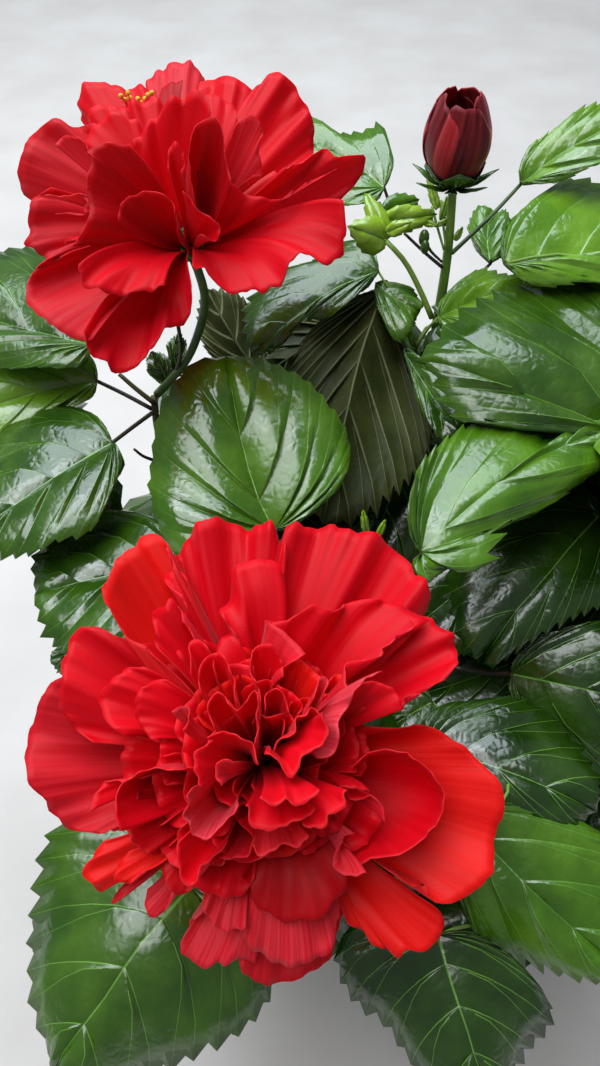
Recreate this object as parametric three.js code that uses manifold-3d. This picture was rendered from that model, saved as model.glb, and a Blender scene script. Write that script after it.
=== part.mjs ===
// A small hibiscus shrub: one short woody stem, forking low into boughs that carry separate masses of
// leaves, with two double blooms and a bud held above them on stalks of their own.
// Millimetres, +Z up. The origin is the middle of the flat cut under the stem, at ground level.

import * as THREE from "three";
import { mergeVertices } from "three/addons/utils/BufferGeometryUtils.js";
import Module from "manifold-3d";

const wasm = await Module();
wasm.setup();

// Clearances: solids that meet stay this far apart, and a cutter is made that much larger.
const SEAT_GAP = 0.5;
const WELD = 1e-4;

// Stem: its route leans a little, and it widens into a lobed root flare at the ground.
const STEM_SUNK = 8;
const STEM_FORK_HEIGHT = 62;
const STEM_LEAN = [2.5, -3];
const STEM_RADIUS_LOW = 12.5;
const STEM_RADIUS_FORK = 10;
const FLARE_EXTRA = 9;
const FLARE_HEIGHT = 11;
const FLARE_LOBES = 5;
const STEM_SIDES = 15;
const STEM_STEPS = 9;

// Boughs: the main ones rise steeply from the fork before they lean out.
const MAIN_RADIUS = [6.4, 3.0];
const SIDE_RADIUS = [4.2, 2.3];
const LOW_RADIUS = [3.8, 2.2];
const MAIN_LEAN_POWER = 1.9;
const MAIN_ROUTE_POINTS = 6;
const BOUGH_SIDES = 8;
const BOUGH_STEPS = 7;
const FORK_DEPTH = 8;
const FORK_SPREAD = 4;

// Masses of leaves: bearing in degrees from +X, distance out from the stem and height of the middle,
// then half sizes outward, round the crown and upward.
const MASSES = {
  foliage_centre: { bearing: 152, out: 32, height: 385, half: [56, 56, 55] },
  foliage_rear_left: { bearing: 135, out: 106, height: 375, half: [45, 40, 50] },
  foliage_rear_right: { bearing: 74, out: 112, height: 405, half: [48, 50, 55] },
  foliage_right_top: { bearing: 47, out: 162, height: 430, half: [58, 56, 50] },
  foliage_right: { bearing: 17, out: 96, height: 410, half: [58, 58, 55] },
  foliage_far_right: { bearing: 6, out: 179, height: 348, half: [56, 68, 66] },
  foliage_right_low: { bearing: -28, out: 148, height: 306, half: [60, 56, 64] },
  foliage_front_right: { bearing: -65, out: 125, height: 298, half: [64, 60, 62] },
  foliage_front: { bearing: -114, out: 98, height: 312, half: [50, 48, 58] },
  foliage_front_left: { bearing: -133, out: 164, height: 288, half: [56, 62, 60] },
  foliage_left_low: { bearing: -172, out: 149, height: 285, half: [50, 56, 62] },
  foliage_left: { bearing: 161, out: 188, height: 372, half: [42, 62, 48] },
  foliage_back_left: { bearing: 129, out: 173, height: 268, half: [52, 62, 60] },
  foliage_back: { bearing: 88, out: 168, height: 303, half: [50, 60, 68] },
  foliage_back_right: { bearing: 48, out: 202, height: 305, half: [48, 64, 66] },
  foliage_low_front: { bearing: -97, out: 86, height: 172, half: [50, 66, 52] },
  foliage_low_left: { bearing: 171, out: 98, height: 168, half: [52, 64, 52] },
  foliage_low_right: { bearing: -6, out: 96, height: 178, half: [54, 66, 54] },
  foliage_low_back: { bearing: 90, out: 96, height: 172, half: [52, 66, 52] },
};
const MASS_DETAIL = 2;
const LOBE_DEPTH = 0.19;
const UNDERSIDE_SHARE = 0.86;

// Boughs by name: the limb that each grows from, how far along it, the mass it ends in, and how far the
// middle of its route is lifted above a straight line.
const MAIN_BOUGHS = {
  bough_centre: { to: "foliage_centre" },
  bough_right: { to: "foliage_right" },
  bough_front: { to: "foliage_front" },
  bough_rear_left: { to: "foliage_rear_left" },
  bough_rear_right: { to: "foliage_rear_right" },
};
const SIDE_BOUGHS = {
  bough_left: { from: "bough_rear_left", along: 0.6, to: "foliage_left", lift: -6 },
  bough_left_low: { from: "bough_rear_left", along: 0.42, to: "foliage_left_low", lift: 16 },
  bough_back_left: { from: "bough_rear_left", along: 0.5, to: "foliage_back_left", lift: 10 },
  bough_front_left: { from: "bough_front", along: 0.58, to: "foliage_front_left", lift: 4 },
  bough_front_right: { from: "bough_front", along: 0.46, to: "foliage_front_right", lift: 22 },
  bough_right_low: { from: "bough_right", along: 0.45, to: "foliage_right_low", lift: 18 },
  bough_far_right: { from: "bough_right", along: 0.55, to: "foliage_far_right", lift: 0 },
  bough_back_right: { from: "bough_rear_right", along: 0.48, to: "foliage_back_right", lift: 8 },
  bough_back: { from: "bough_rear_right", along: 0.4, to: "foliage_back", lift: 24 },
  bough_right_top: { from: "bough_rear_right", along: 0.68, to: "foliage_right_top", lift: -8 },
};
const LOW_BOUGHS = {
  bough_low_front: { from: "bough_front", along: 0.14, to: "foliage_low_front", lift: 0 },
  bough_low_left: { from: "bough_rear_left", along: 0.16, to: "foliage_low_left", lift: 0 },
  bough_low_right: { from: "bough_right", along: 0.14, to: "foliage_low_right", lift: 0 },
  bough_low_back: { from: "bough_rear_right", along: 0.15, to: "foliage_low_back", lift: 0 },
};

// Blooms: where the stalk meets each one, the way it faces, and how wide and deep its petals reach.
const BLOOMS = {
  bloom_front: { seat: [-53, -126, 418], facing: [0.05, -0.41, 0.91], middle: 30, radius: 71,
    above: 27, below: 34, droop: 12 },
  bloom_rear: { seat: [-84, 48, 502], facing: [-0.27, 0.55, 0.79], middle: 20, radius: 69,
    above: 56, below: 36, droop: 14 },
};
const BLOOM_DETAIL = 3;
const PETAL_LOBES = 5;
const PETAL_NOTCH = 0.1;

// Bud: a pointed egg of wrapped petals.
const BUD_SEAT = [30, 113, 500];
const BUD_FACING = [-0.05, -0.02, 1];
const BUD_LENGTH = 47;
const BUD_RADIUS = 15;
const BUD_SIDES = 12;
const BUD_STEPS = 8;

// Stalks: the mass that each rises from, the point where it bends and the flower that it carries.
const STALKS = {
  stalk_front: { foot: [-50, -106, 350], knee: [-52, -118, 388], top: [-53, -126, 424] },
  stalk_rear: { foot: [-84, 70, 400], knee: [-101, 50, 452], top: [-84, 48, 506] },
  stalk_bud: { foot: [32, 110, 430], knee: [33, 113, 468], top: [30, 113, 502] },
};
const STALK_RADIUS = [2.6, 1.9];
const STALK_SIDES = 8;
const STALK_STEPS = 8;

const bark = new THREE.MeshStandardMaterial({ color: 0x6b5c49, roughness: 0.9, metalness: 0 });
const greenStem = new THREE.MeshStandardMaterial({ color: 0x5d7a2c, roughness: 0.6, metalness: 0 });
const leaf = new THREE.MeshStandardMaterial({ color: 0x2c5a1e, roughness: 0.4, metalness: 0 });
const petal = new THREE.MeshStandardMaterial({ color: 0xc8101c, roughness: 0.55, metalness: 0 });
const budPetal = new THREE.MeshStandardMaterial({ color: 0x5a0f17, roughness: 0.5, metalness: 0 });

const UPWARD = new THREE.Vector3(0, 0, 1);
const radians = THREE.MathUtils.degToRad;
const mix = THREE.MathUtils.lerp;

// A closed solid from a three.js geometry whose doubled seam vertices are welded first.
function solidOf(geometry) {
  const bare = geometry.clone();
  bare.deleteAttribute("normal");
  bare.deleteAttribute("uv");
  const welded = mergeVertices(bare, WELD);
  const vertProperties = new Float32Array(welded.attributes.position.array);
  const triVerts = new Uint32Array(welded.index.array);
  return new wasm.Manifold(new wasm.Mesh({ numProp: 3, vertProperties, triVerts }));
}

function geometryOf(solid) {
  const { vertProperties, triVerts } = solid.getMesh();
  const geometry = new THREE.BufferGeometry();
  geometry.setAttribute("position", new THREE.BufferAttribute(vertProperties, 3));
  geometry.setIndex(new THREE.BufferAttribute(triVerts, 1));
  geometry.computeVertexNormals();
  return geometry;
}

// Moves every vertex of a geometry to the place that the rule gives for it.
function reshape(geometry, rule) {
  const { position } = geometry.attributes;
  const point = new THREE.Vector3();
  for (let i = 0; i < position.count; i += 1) {
    point.fromBufferAttribute(position, i);
    rule(point);
    position.setXYZ(i, point.x, point.y, point.z);
  }
  return geometry;
}

// A limb of round section along a curve. radiusAt gives its radius from the share of its length and
// the angle round it.
function limbSolid(curve, radiusAt, sides, steps) {
  const frames = curve.computeFrenetFrames(steps, false);
  const centre = new THREE.Vector3();
  return solidOf(reshape(new THREE.CylinderGeometry(1, 1, 1, sides, steps), (point) => {
    const share = point.y + 0.5;
    const ring = Math.round(share * steps);
    const angle = Math.atan2(point.z, point.x);
    const size = Math.hypot(point.x, point.z) > 0.5 ? radiusAt(share, angle) : 0;
    curve.getPointAt(share, centre);
    point.copy(centre)
      .addScaledVector(frames.binormals[ring], size * Math.cos(angle))
      .addScaledVector(frames.normals[ring], size * Math.sin(angle));
  }));
}

function taperedLimb(curve, [thick, thin], sides, steps, grown) {
  return limbSolid(curve, (share) => mix(thick, thin, share) + grown, sides, steps);
}

// The stem: a slight lean, an even taper and a flare of rounded lobes, cut flat at the ground.
const stemCurve = new THREE.CatmullRomCurve3([
  new THREE.Vector3(0, 0, -STEM_SUNK),
  new THREE.Vector3(0, 0, STEM_SUNK),
  new THREE.Vector3(STEM_LEAN[0] * 0.4, STEM_LEAN[1] * 0.3, STEM_FORK_HEIGHT * 0.5),
  new THREE.Vector3(STEM_LEAN[0], STEM_LEAN[1], STEM_FORK_HEIGHT),
]);

function stemSolid(grown) {
  const radiusAt = (share, angle) => {
    const height = share * (STEM_FORK_HEIGHT + STEM_SUNK) - STEM_SUNK;
    const flare = FLARE_EXTRA * Math.exp(-Math.max(height, 0) / FLARE_HEIGHT);
    const lobe = 0.78 + 0.22 * Math.cos(FLARE_LOBES * angle + 0.6);
    return mix(STEM_RADIUS_LOW, STEM_RADIUS_FORK, share) + flare * lobe + grown;
  };
  return limbSolid(stemCurve, radiusAt, STEM_SIDES, STEM_STEPS).trimByPlane([0, 0, 1], 0);
}

function massMiddle({ bearing, out, height }) {
  const angle = radians(bearing);
  return new THREE.Vector3(out * Math.cos(angle), out * Math.sin(angle), height);
}

// One mass of leaves: an uneven ball, drawn out to its half sizes, pushed into lobes that differ from
// mass to mass, flatter underneath and turned to face out of the crown.
function massSolid(mass, number, grown) {
  const [outward, round, upward] = mass.half;
  const middle = massMiddle(mass);
  const turn = radians(mass.bearing);
  const phase = number * 1.7;
  const ball = new THREE.IcosahedronGeometry(1, MASS_DETAIL);
  return solidOf(reshape(ball, (point) => {
    point.normalize();
    const lobes = Math.sin(3.1 * point.x + phase) * Math.cos(2.7 * point.y - phase)
      + 0.6 * Math.sin(4.3 * point.z + 2 * phase) * Math.cos(3.7 * point.x + phase);
    const swell = 1 + LOBE_DEPTH * lobes;
    const sag = point.z < 0 ? UNDERSIDE_SHARE : 1;
    const away = point.clone().multiplyScalar(grown);
    point.set(point.x * outward * swell, point.y * round * swell, point.z * upward * swell * sag);
    point.add(away).applyAxisAngle(UPWARD, turn).add(middle);
  }));
}

// A double bloom: a lobed cushion of petals round its facing axis, drooping at the rim.
function bloomSolid(bloom, number, grown) {
  const facing = new THREE.Vector3(...bloom.facing).normalize();
  const upright = new THREE.Quaternion().setFromUnitVectors(UPWARD, facing);
  const middle = new THREE.Vector3(...bloom.seat).addScaledVector(facing, bloom.middle);
  const ball = new THREE.IcosahedronGeometry(1, BLOOM_DETAIL);
  return solidOf(reshape(ball, (point) => {
    point.normalize();
    const away = point.clone().multiplyScalar(grown);
    const round = Math.atan2(point.y, point.x);
    const rim = Math.hypot(point.x, point.y);
    const notch = 1 - PETAL_NOTCH * (0.5 + 0.5 * Math.cos(PETAL_LOBES * round + 2 * number));
    const rise = point.z > 0 ? point.z * bloom.above : point.z * bloom.below;
    point.set(point.x * bloom.radius * notch, point.y * bloom.radius * notch, rise);
    point.z -= bloom.droop * rim * rim;
    point.add(away).applyQuaternion(upright).add(middle);
  }));
}

function budSolid(grown) {
  const outline = [];
  for (let i = 0; i <= BUD_STEPS; i += 1) {
    const share = i / BUD_STEPS;
    const swell = Math.sin(Math.PI * share ** 0.72) ** 0.62;
    const radius = i % BUD_STEPS === 0 ? 0 : BUD_RADIUS * swell + grown;
    outline.push(new THREE.Vector2(radius, mix(-grown, BUD_LENGTH + grown, share)));
  }
  const facing = new THREE.Vector3(...BUD_FACING).normalize();
  const upright = new THREE.Quaternion().setFromUnitVectors(new THREE.Vector3(0, 1, 0), facing);
  const seat = new THREE.Vector3(...BUD_SEAT);
  return solidOf(reshape(new THREE.LatheGeometry(outline, BUD_SIDES), (point) => {
    point.applyQuaternion(upright).add(seat);
  }));
}

// A main bough climbs from the fork and leans out more and more until it reaches its mass.
function mainRoute({ to }) {
  const end = massMiddle(MASSES[to]);
  const start = end.clone().setZ(0).setLength(FORK_SPREAD);
  start.add(new THREE.Vector3(STEM_LEAN[0], STEM_LEAN[1], STEM_FORK_HEIGHT - FORK_DEPTH));
  const points = [];
  for (let i = 0; i < MAIN_ROUTE_POINTS; i += 1) {
    const share = i / (MAIN_ROUTE_POINTS - 1);
    const lean = share ** MAIN_LEAN_POWER;
    points.push(new THREE.Vector3(
      mix(start.x, end.x, lean),
      mix(start.y, end.y, lean),
      mix(start.z, end.z, share),
    ));
  }
  return new THREE.CatmullRomCurve3(points);
}

// A side bough leaves its parent limb and ends in the middle of its own mass.
function sideRoute({ from, along, to, lift }) {
  const start = routes[from].getPointAt(along);
  const end = massMiddle(MASSES[to]);
  const knee = start.clone().lerp(end, 0.5);
  knee.z += lift;
  return new THREE.QuadraticBezierCurve3(start, knee, end);
}

// Every solid already placed, with the slightly larger copy that cuts room for it out of the next.
const placed = [];

function largestPiece(solid) {
  return solid.decompose().reduce((best, piece) => (piece.volume() > best.volume() ? piece : best));
}

// Of the pieces that a limb is cut into, the one that starts nearest to where the limb starts.
function rootPiece(solid, start) {
  const distance = (piece) => {
    const { min, max } = piece.boundingBox();
    const near = start.clone().clamp(new THREE.Vector3(...min), new THREE.Vector3(...max));
    return near.distanceTo(start);
  };
  return solid.decompose().reduce((best, piece) => (distance(piece) < distance(best) ? piece : best));
}

function place(name, material, make, choose) {
  let solid = make(0);
  for (const other of placed) {
    solid = solid.subtract(other.cutter);
  }
  solid = choose(solid);
  placed.push({ name, material, solid, cutter: make(SEAT_GAP) });
}

const shrub = new THREE.Group();

Object.entries(MASSES).forEach(([name, mass], number) => {
  place(name, leaf, (grown) => massSolid(mass, number, grown), largestPiece);
});
Object.entries(BLOOMS).forEach(([name, bloom], number) => {
  place(name, petal, (grown) => bloomSolid(bloom, number, grown), largestPiece);
});
place("bud", budPetal, budSolid, largestPiece);
place("trunk", bark, stemSolid, largestPiece);

const routes = {};
function placeBoughs(boughs, radii, routeOf) {
  Object.entries(boughs).forEach(([name, bough]) => {
    const curve = routeOf(bough);
    routes[name] = curve;
    place(
      name,
      bark,
      (grown) => taperedLimb(curve, radii, BOUGH_SIDES, BOUGH_STEPS, grown),
      (solid) => rootPiece(solid, curve.getPointAt(0)),
    );
  });
}
placeBoughs(MAIN_BOUGHS, MAIN_RADIUS, mainRoute);
placeBoughs(SIDE_BOUGHS, SIDE_RADIUS, sideRoute);
placeBoughs(LOW_BOUGHS, LOW_RADIUS, sideRoute);

Object.entries(STALKS).forEach(([name, { foot, knee, top }]) => {
  const curve = new THREE.QuadraticBezierCurve3(...[foot, knee, top].map((p) => new THREE.Vector3(...p)));
  place(
    name,
    greenStem,
    (grown) => taperedLimb(curve, STALK_RADIUS, STALK_SIDES, STALK_STEPS, grown),
    largestPiece,
  );
});

for (const { name, material, solid } of placed) {
  const mesh = new THREE.Mesh(geometryOf(solid), material);
  mesh.name = name;
  shrub.add(mesh);
}

export default shrub;
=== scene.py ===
# %% [markdown]
# A small double-flowered hibiscus shrub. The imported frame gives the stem, the boughs, and one plain
# solid for each mass of leaves, each bloom and the bud. This script dresses that frame: every mass
# becomes a spray of toothed, veined leaves on twigs, and every bloom becomes ruffled petals. The frame
# comes first because each later piece takes its place from it.

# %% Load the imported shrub
import bisect
import math
import random

import bmesh
import bpy
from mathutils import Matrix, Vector, noise
from mathutils.bvhtree import BVHTree


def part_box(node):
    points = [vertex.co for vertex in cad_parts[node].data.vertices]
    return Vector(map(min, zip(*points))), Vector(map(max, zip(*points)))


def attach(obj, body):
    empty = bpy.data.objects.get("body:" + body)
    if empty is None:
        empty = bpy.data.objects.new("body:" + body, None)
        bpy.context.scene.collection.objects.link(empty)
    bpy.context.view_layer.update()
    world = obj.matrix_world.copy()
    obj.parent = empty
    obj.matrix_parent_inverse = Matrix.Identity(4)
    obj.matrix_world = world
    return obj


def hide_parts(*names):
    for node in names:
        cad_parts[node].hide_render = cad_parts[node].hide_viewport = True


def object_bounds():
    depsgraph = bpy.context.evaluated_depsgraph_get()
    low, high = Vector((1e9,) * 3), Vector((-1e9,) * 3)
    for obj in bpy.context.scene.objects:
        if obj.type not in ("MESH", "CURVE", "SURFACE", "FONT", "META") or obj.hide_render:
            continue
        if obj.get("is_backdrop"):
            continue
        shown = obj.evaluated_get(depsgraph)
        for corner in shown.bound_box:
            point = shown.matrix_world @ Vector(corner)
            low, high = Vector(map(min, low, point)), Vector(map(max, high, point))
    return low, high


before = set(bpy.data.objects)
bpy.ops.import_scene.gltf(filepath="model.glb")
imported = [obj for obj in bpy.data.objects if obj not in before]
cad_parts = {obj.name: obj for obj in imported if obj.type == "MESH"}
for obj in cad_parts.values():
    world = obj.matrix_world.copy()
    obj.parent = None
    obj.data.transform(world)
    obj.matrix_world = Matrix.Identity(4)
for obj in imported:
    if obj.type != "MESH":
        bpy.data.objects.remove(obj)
cad_low, cad_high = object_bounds()
scene = bpy.context.scene
UPWARD = Vector((0, 0, 1))
print("nodes in the frame:", len(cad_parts))

# %% [markdown]
# The photo looks steeply down on the shrub from close by. Its camera is rebuilt first, so that a pixel
# of the photo plus a depth gives a place in the shrub's own frame. Leaves and petals that the photo
# shows are placed this way, and the rest of the crown grows by rule. Measuring each leaf's place by
# eye in 3-D would be the other way, but it is slower and less true.

# %% The camera at the photo's angle
PHOTO_WIDTH = 600
PHOTO_HEIGHT = 1066
FOCAL_PIXELS = 800.7
SENSOR_MM = 36.0
CAMERA_PLACE = Vector((-0.04, -0.245, 0.68))
CAMERA_TILT = math.radians(40)
FORWARD = Vector((0, math.sin(CAMERA_TILT), -math.cos(CAMERA_TILT)))
PHOTO_UP = Vector((0, math.cos(CAMERA_TILT), math.sin(CAMERA_TILT)))
PHOTO_RIGHT = Vector((1, 0, 0))

camera_data = bpy.data.cameras.new("photo_camera")
camera_data.sensor_width = SENSOR_MM
camera_data.lens = SENSOR_MM * FOCAL_PIXELS / PHOTO_HEIGHT
camera_data.clip_start = 0.01
camera = bpy.data.objects.new("photo_camera", camera_data)
camera.location = CAMERA_PLACE
camera.rotation_euler = (CAMERA_TILT, 0, 0)
scene.collection.objects.link(camera)
scene.camera = camera


def from_photo(u, v, depth):
    """The place in the shrub's frame that a pixel shows at a depth along the view."""
    across = (u - PHOTO_WIDTH / 2) / FOCAL_PIXELS
    upward = (PHOTO_HEIGHT / 2 - v) / FOCAL_PIXELS
    return CAMERA_PLACE + depth * (FORWARD + across * PHOTO_RIGHT + upward * PHOTO_UP)


def to_photo(point):
    """The pixel that shows a place."""
    away = point - CAMERA_PLACE
    scale = FOCAL_PIXELS / away.dot(FORWARD)
    return PHOTO_WIDTH / 2 + scale * away.x, PHOTO_HEIGHT / 2 - scale * away.dot(PHOTO_UP)


print("camera lens in mm:", round(camera_data.lens, 2))

# %% [markdown]
# Leaves, petals and stems are thin living surfaces with a wet-looking skin. Each finish is one
# Principled shader: noise on Object coordinates shifts its colour and roughness, and a bump adds the
# finest relief. A photo texture could do the same, but a procedural finish has no seams and no light
# baked into it. These are the few nodes that all the finishes share.

# %% Tools for procedural finishes
BLEND_SPAN = (0.36, 0.66)
NOISE_SPAN = (0.3, 0.7)


def new_finish(name):
    """An empty material with its Principled shader, ready for nodes."""
    finish = bpy.data.materials.new(name)
    finish.use_nodes = True
    tree = finish.node_tree
    return finish, tree, tree.nodes["Principled BSDF"]


def add_node(tree, kind, **inputs):
    """A shader node whose inputs are linked to other nodes or set to plain values."""
    node = tree.nodes.new("ShaderNode" + kind)
    for name, value in inputs.items():
        socket = node.inputs[name.replace("_", " ")]
        if isinstance(value, bpy.types.NodeSocket):
            tree.links.new(value, socket)
        else:
            socket.default_value = value
    return node


def add_noise(tree, source, scale, detail):
    """A plain noise from 0 to 1 on the given coordinates."""
    return add_node(tree, "TexNoise", Vector=source, Scale=scale, Detail=detail).outputs["Fac"]


def add_blend(tree, factor, low, high):
    """A colour that runs from low to high over the middle of a noise."""
    ramp = add_node(tree, "ValToRGB", Fac=factor)
    for stop, position, colour in zip(ramp.color_ramp.elements, BLEND_SPAN, (low, high)):
        stop.position = position
        stop.color = (*colour, 1)
    return ramp.outputs["Color"]


def add_range(tree, factor, low, high):
    """A number that runs from low to high over the middle of a noise."""
    first, last = NOISE_SPAN
    span = add_node(tree, "MapRange", Value=factor, From_Min=first, From_Max=last, To_Min=low, To_Max=high)
    return span.outputs["Result"]


def add_bump(tree, shader, height, strength, distance):
    """Tilts the shading by a height, as fine relief would."""
    bump = add_node(tree, "Bump", Height=height, Strength=strength, Distance=distance)
    tree.links.new(bump.outputs["Normal"], shader.inputs["Normal"])


print("finish tools ready")

# %% [markdown]
# The skin between a leaf's finest veins is quilted, and small blisters break up the shine of every green
# skin. Cell noise gives the quilt and plain noise the blisters, both as a bump. Relief that fine could
# be geometry too, but it would take millions of faces.

# %% The skin of leaves and stems
SKIN_SHINE = 0.50
PATCH_SCALE = 48.0
PATCH_DETAIL = 3.0
BLISTER_DETAIL = 2.0
BLISTER_DEPTH = 0.0012
CELL_SCALE = 230.0
CELL_BORDER = 0.30
CELL_SHARE = 0.12


def add_quilt(tree, source):
    """Small cells with sunken borders, as between the finest veins."""
    cells = add_node(tree, "TexVoronoi", Vector=source, Scale=CELL_SCALE)
    cells.feature = "DISTANCE_TO_EDGE"
    border = add_node(tree, "MapRange", Value=cells.outputs["Distance"], From_Max=CELL_BORDER)
    border.interpolation_type = "SMOOTHSTEP"
    return border.outputs["Result"]


def skin_finish(name, low, high, rough, blister, strength, quilted=False, shine=SKIN_SHINE):
    """A leaf or stem skin: two mixed tones, a broken gloss and small blisters of the given scale."""
    finish, tree, shader = new_finish(name)
    place = add_node(tree, "TexCoord").outputs["Object"]
    patches = add_noise(tree, place, PATCH_SCALE, PATCH_DETAIL)
    tree.links.new(add_blend(tree, patches, low, high), shader.inputs["Base Color"])
    tree.links.new(add_range(tree, patches, *rough), shader.inputs["Roughness"])
    height = add_noise(tree, place, blister, BLISTER_DETAIL)
    if quilted:
        cells = add_node(tree, "Math")
        cells.operation = "MULTIPLY_ADD"
        cells.inputs[1].default_value = CELL_SHARE
        tree.links.new(add_quilt(tree, place), cells.inputs[0])
        tree.links.new(height, cells.inputs[2])
        height = cells.outputs["Value"]
    add_bump(tree, shader, height, strength, BLISTER_DEPTH)
    shader.inputs["Specular IOR Level"].default_value = shine
    return finish


print("skin tool ready, cells per metre:", CELL_SCALE)

# %% [markdown]
# A leaf is dark and glossy above, paler and dull beneath, with veins that are lighter than both. The first
# four greens, from dark to light, are one leaf green at four levels of light: besides the leaf's own colour,
# the darker ones paint the shade that a leaf stands in, and the lighter ones paint the light on it and, on
# some leaves, a sky reflection. Each tone is a finish of its own, and every piece of leaves carries all of
# them, so a face only needs the number of its tone. One finish that reads a painted colour would do as well,
# but is harder to tune.

# %% Leaf, stem, bark and pollen finishes
LEAF_TONES = {
    "dark": ((0.011, 0.038, 0.002), (0.027, 0.078, 0.003)),
    "mid": ((0.022, 0.072, 0.003), (0.050, 0.130, 0.004)),
    "fresh": ((0.043, 0.130, 0.003), (0.086, 0.215, 0.006)),
    "bright": ((0.085, 0.215, 0.007), (0.160, 0.335, 0.014)),
    "young": ((0.190, 0.360, 0.015), (0.310, 0.510, 0.032)),
    "vein": ((0.100, 0.240, 0.030), (0.160, 0.340, 0.055)),
}
UNDER_TONES = {
    "dark": ((0.034, 0.046, 0.010), (0.064, 0.080, 0.018)),
    "mid": ((0.050, 0.110, 0.032), (0.080, 0.160, 0.050)),
    "fresh": ((0.080, 0.170, 0.036), (0.120, 0.230, 0.056)),
    "bright": ((0.110, 0.240, 0.040), (0.170, 0.320, 0.065)),
    "young": ((0.240, 0.420, 0.050), (0.340, 0.520, 0.080)),
    "vein": ((0.130, 0.155, 0.070), (0.200, 0.230, 0.100)),
}
LEAF_BLISTERS = 105.0
LEAF_BUMP = 0.45
LEAF_SIDES = (("leaf_", LEAF_TONES, (0.16, 0.31), 0.85), ("leaf_under_", UNDER_TONES, (0.5, 0.62), 0.25))
leaf_finishes = []
for prefix, tones, rough, shine in LEAF_SIDES:
    for tone, (low, high) in tones.items():
        leaf_finishes.append(skin_finish(prefix + tone, low, high, rough, LEAF_BLISTERS, LEAF_BUMP,
                                         quilted=True, shine=shine))
TONE = {name: place for place, name in enumerate(LEAF_TONES)}
UNDER_OFFSET = len(LEAF_TONES)

OTHER_SKINS = {
    "green": ((0.14, 0.28, 0.04), (0.27, 0.45, 0.07), (0.35, 0.5), 600.0, 0.2),
    "shade": ((0.035, 0.075, 0.012), (0.080, 0.150, 0.026), (0.4, 0.55), 600.0, 0.2),
    "dark": ((0.020, 0.016, 0.008), (0.050, 0.030, 0.014), (0.4, 0.55), 600.0, 0.2),
    "brown": ((0.060, 0.052, 0.020), (0.110, 0.105, 0.032), (0.5, 0.65), 500.0, 0.3),
    "bark": ((0.085, 0.062, 0.042), (0.190, 0.150, 0.110), (0.75, 0.92), 240.0, 0.8),
    "pollen": ((0.80, 0.42, 0.02), (0.95, 0.62, 0.06), (0.7, 0.85), 900.0, 0.4),
}
skins = {name: skin_finish(name + "_skin", *values) for name, values in OTHER_SKINS.items()}
print("leaf finishes:", len(leaf_finishes), "other skins:", len(skins))

# %% [markdown]
# Petals are thin, soft and faintly velvety. Fine ribs run from the claw to the margin, and the cut edge
# carries a paler, pinker finish, a painted highlight along the rim. The ribs follow each petal, so their
# noise reads the petal's own UV map, stretched along it. A little light spreads inside, which keeps the
# folds red and not black.

# %% Petal and bud finishes
PETAL_TONES = {
    "red": ((0.650, 0.0008, 0.0070), (0.730, 0.0016, 0.0100)),
    "warm": ((0.750, 0.0050, 0.0040), (0.830, 0.0100, 0.0070)),
    # The deep tone is painted shade: a darker red for petals that lie deep among the others.
    "deep": ((0.380, 0.0006, 0.0030), (0.470, 0.0010, 0.0050)),
    "crimson": ((0.520, 0.0050, 0.0110), (0.640, 0.0120, 0.0220)),
    "pale": ((0.660, 0.0060, 0.0160), (0.740, 0.0340, 0.0480)),
}
PETAL_BACKS = {
    "red": ((0.640, 0.0060, 0.0150), (0.740, 0.0150, 0.0300)),
    "warm": ((0.680, 0.0100, 0.0140), (0.780, 0.0200, 0.0260)),
    # The deep back is painted shade as well.
    "deep": ((0.500, 0.0020, 0.0070), (0.600, 0.0050, 0.0130)),
    "crimson": ((0.500, 0.0120, 0.0200), (0.620, 0.0260, 0.0380)),
    "pale": ((0.640, 0.0200, 0.0340), (0.740, 0.0640, 0.0860)),
}
# The rim tones are a painted highlight along the petals' cut edges.
RIM_HIGHLIGHT_TONES = ((0.660, 0.0050, 0.0110), (0.780, 0.0260, 0.0340))
BUD_TONES = {
    "skin": ((0.062, 0.005, 0.009), (0.240, 0.022, 0.026)),
    "fold": ((0.360, 0.012, 0.018), (0.540, 0.070, 0.070)),
}
RIBS_PER_CM = 4.5
STREAKS_PER_CM = 11.0
RIB_STRETCH = 0.7
RIB_BUMP = 0.16
RIB_DEPTH = 0.0010
PETAL_SPREAD = 0.24
PETAL_SHADER = {
    "Sheen Roughness": 0.38,
    "Sheen Tint": (1.0, 0.30, 0.36, 1.0),
    "Specular IOR Level": 0.14,
    "Subsurface Radius": (1.0, 0.12, 0.10),
    "Subsurface Scale": 0.006,
}


def petal_finish(name, low, high, rough, sheen, spread, ribs_per_cm=RIBS_PER_CM):
    """A ribbed petal skin that reads the petal's UV map: centimetres across and the share of its length."""
    finish, tree, shader = new_finish(name)
    place = add_node(tree, "UVMap")
    place.uv_map = "petal"
    stretch = add_node(tree, "Mapping", Vector=place.outputs["UV"], Scale=(ribs_per_cm, RIB_STRETCH, 1.0))
    ribs = add_noise(tree, stretch.outputs["Vector"], 1.0, 4.0)
    tree.links.new(add_blend(tree, ribs, low, high), shader.inputs["Base Color"])
    tree.links.new(add_range(tree, ribs, *rough), shader.inputs["Roughness"])
    add_bump(tree, shader, ribs, RIB_BUMP, RIB_DEPTH)
    for socket, value in {**PETAL_SHADER, "Sheen Weight": sheen, "Subsurface Weight": spread}.items():
        shader.inputs[socket].default_value = value
    return finish


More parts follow.
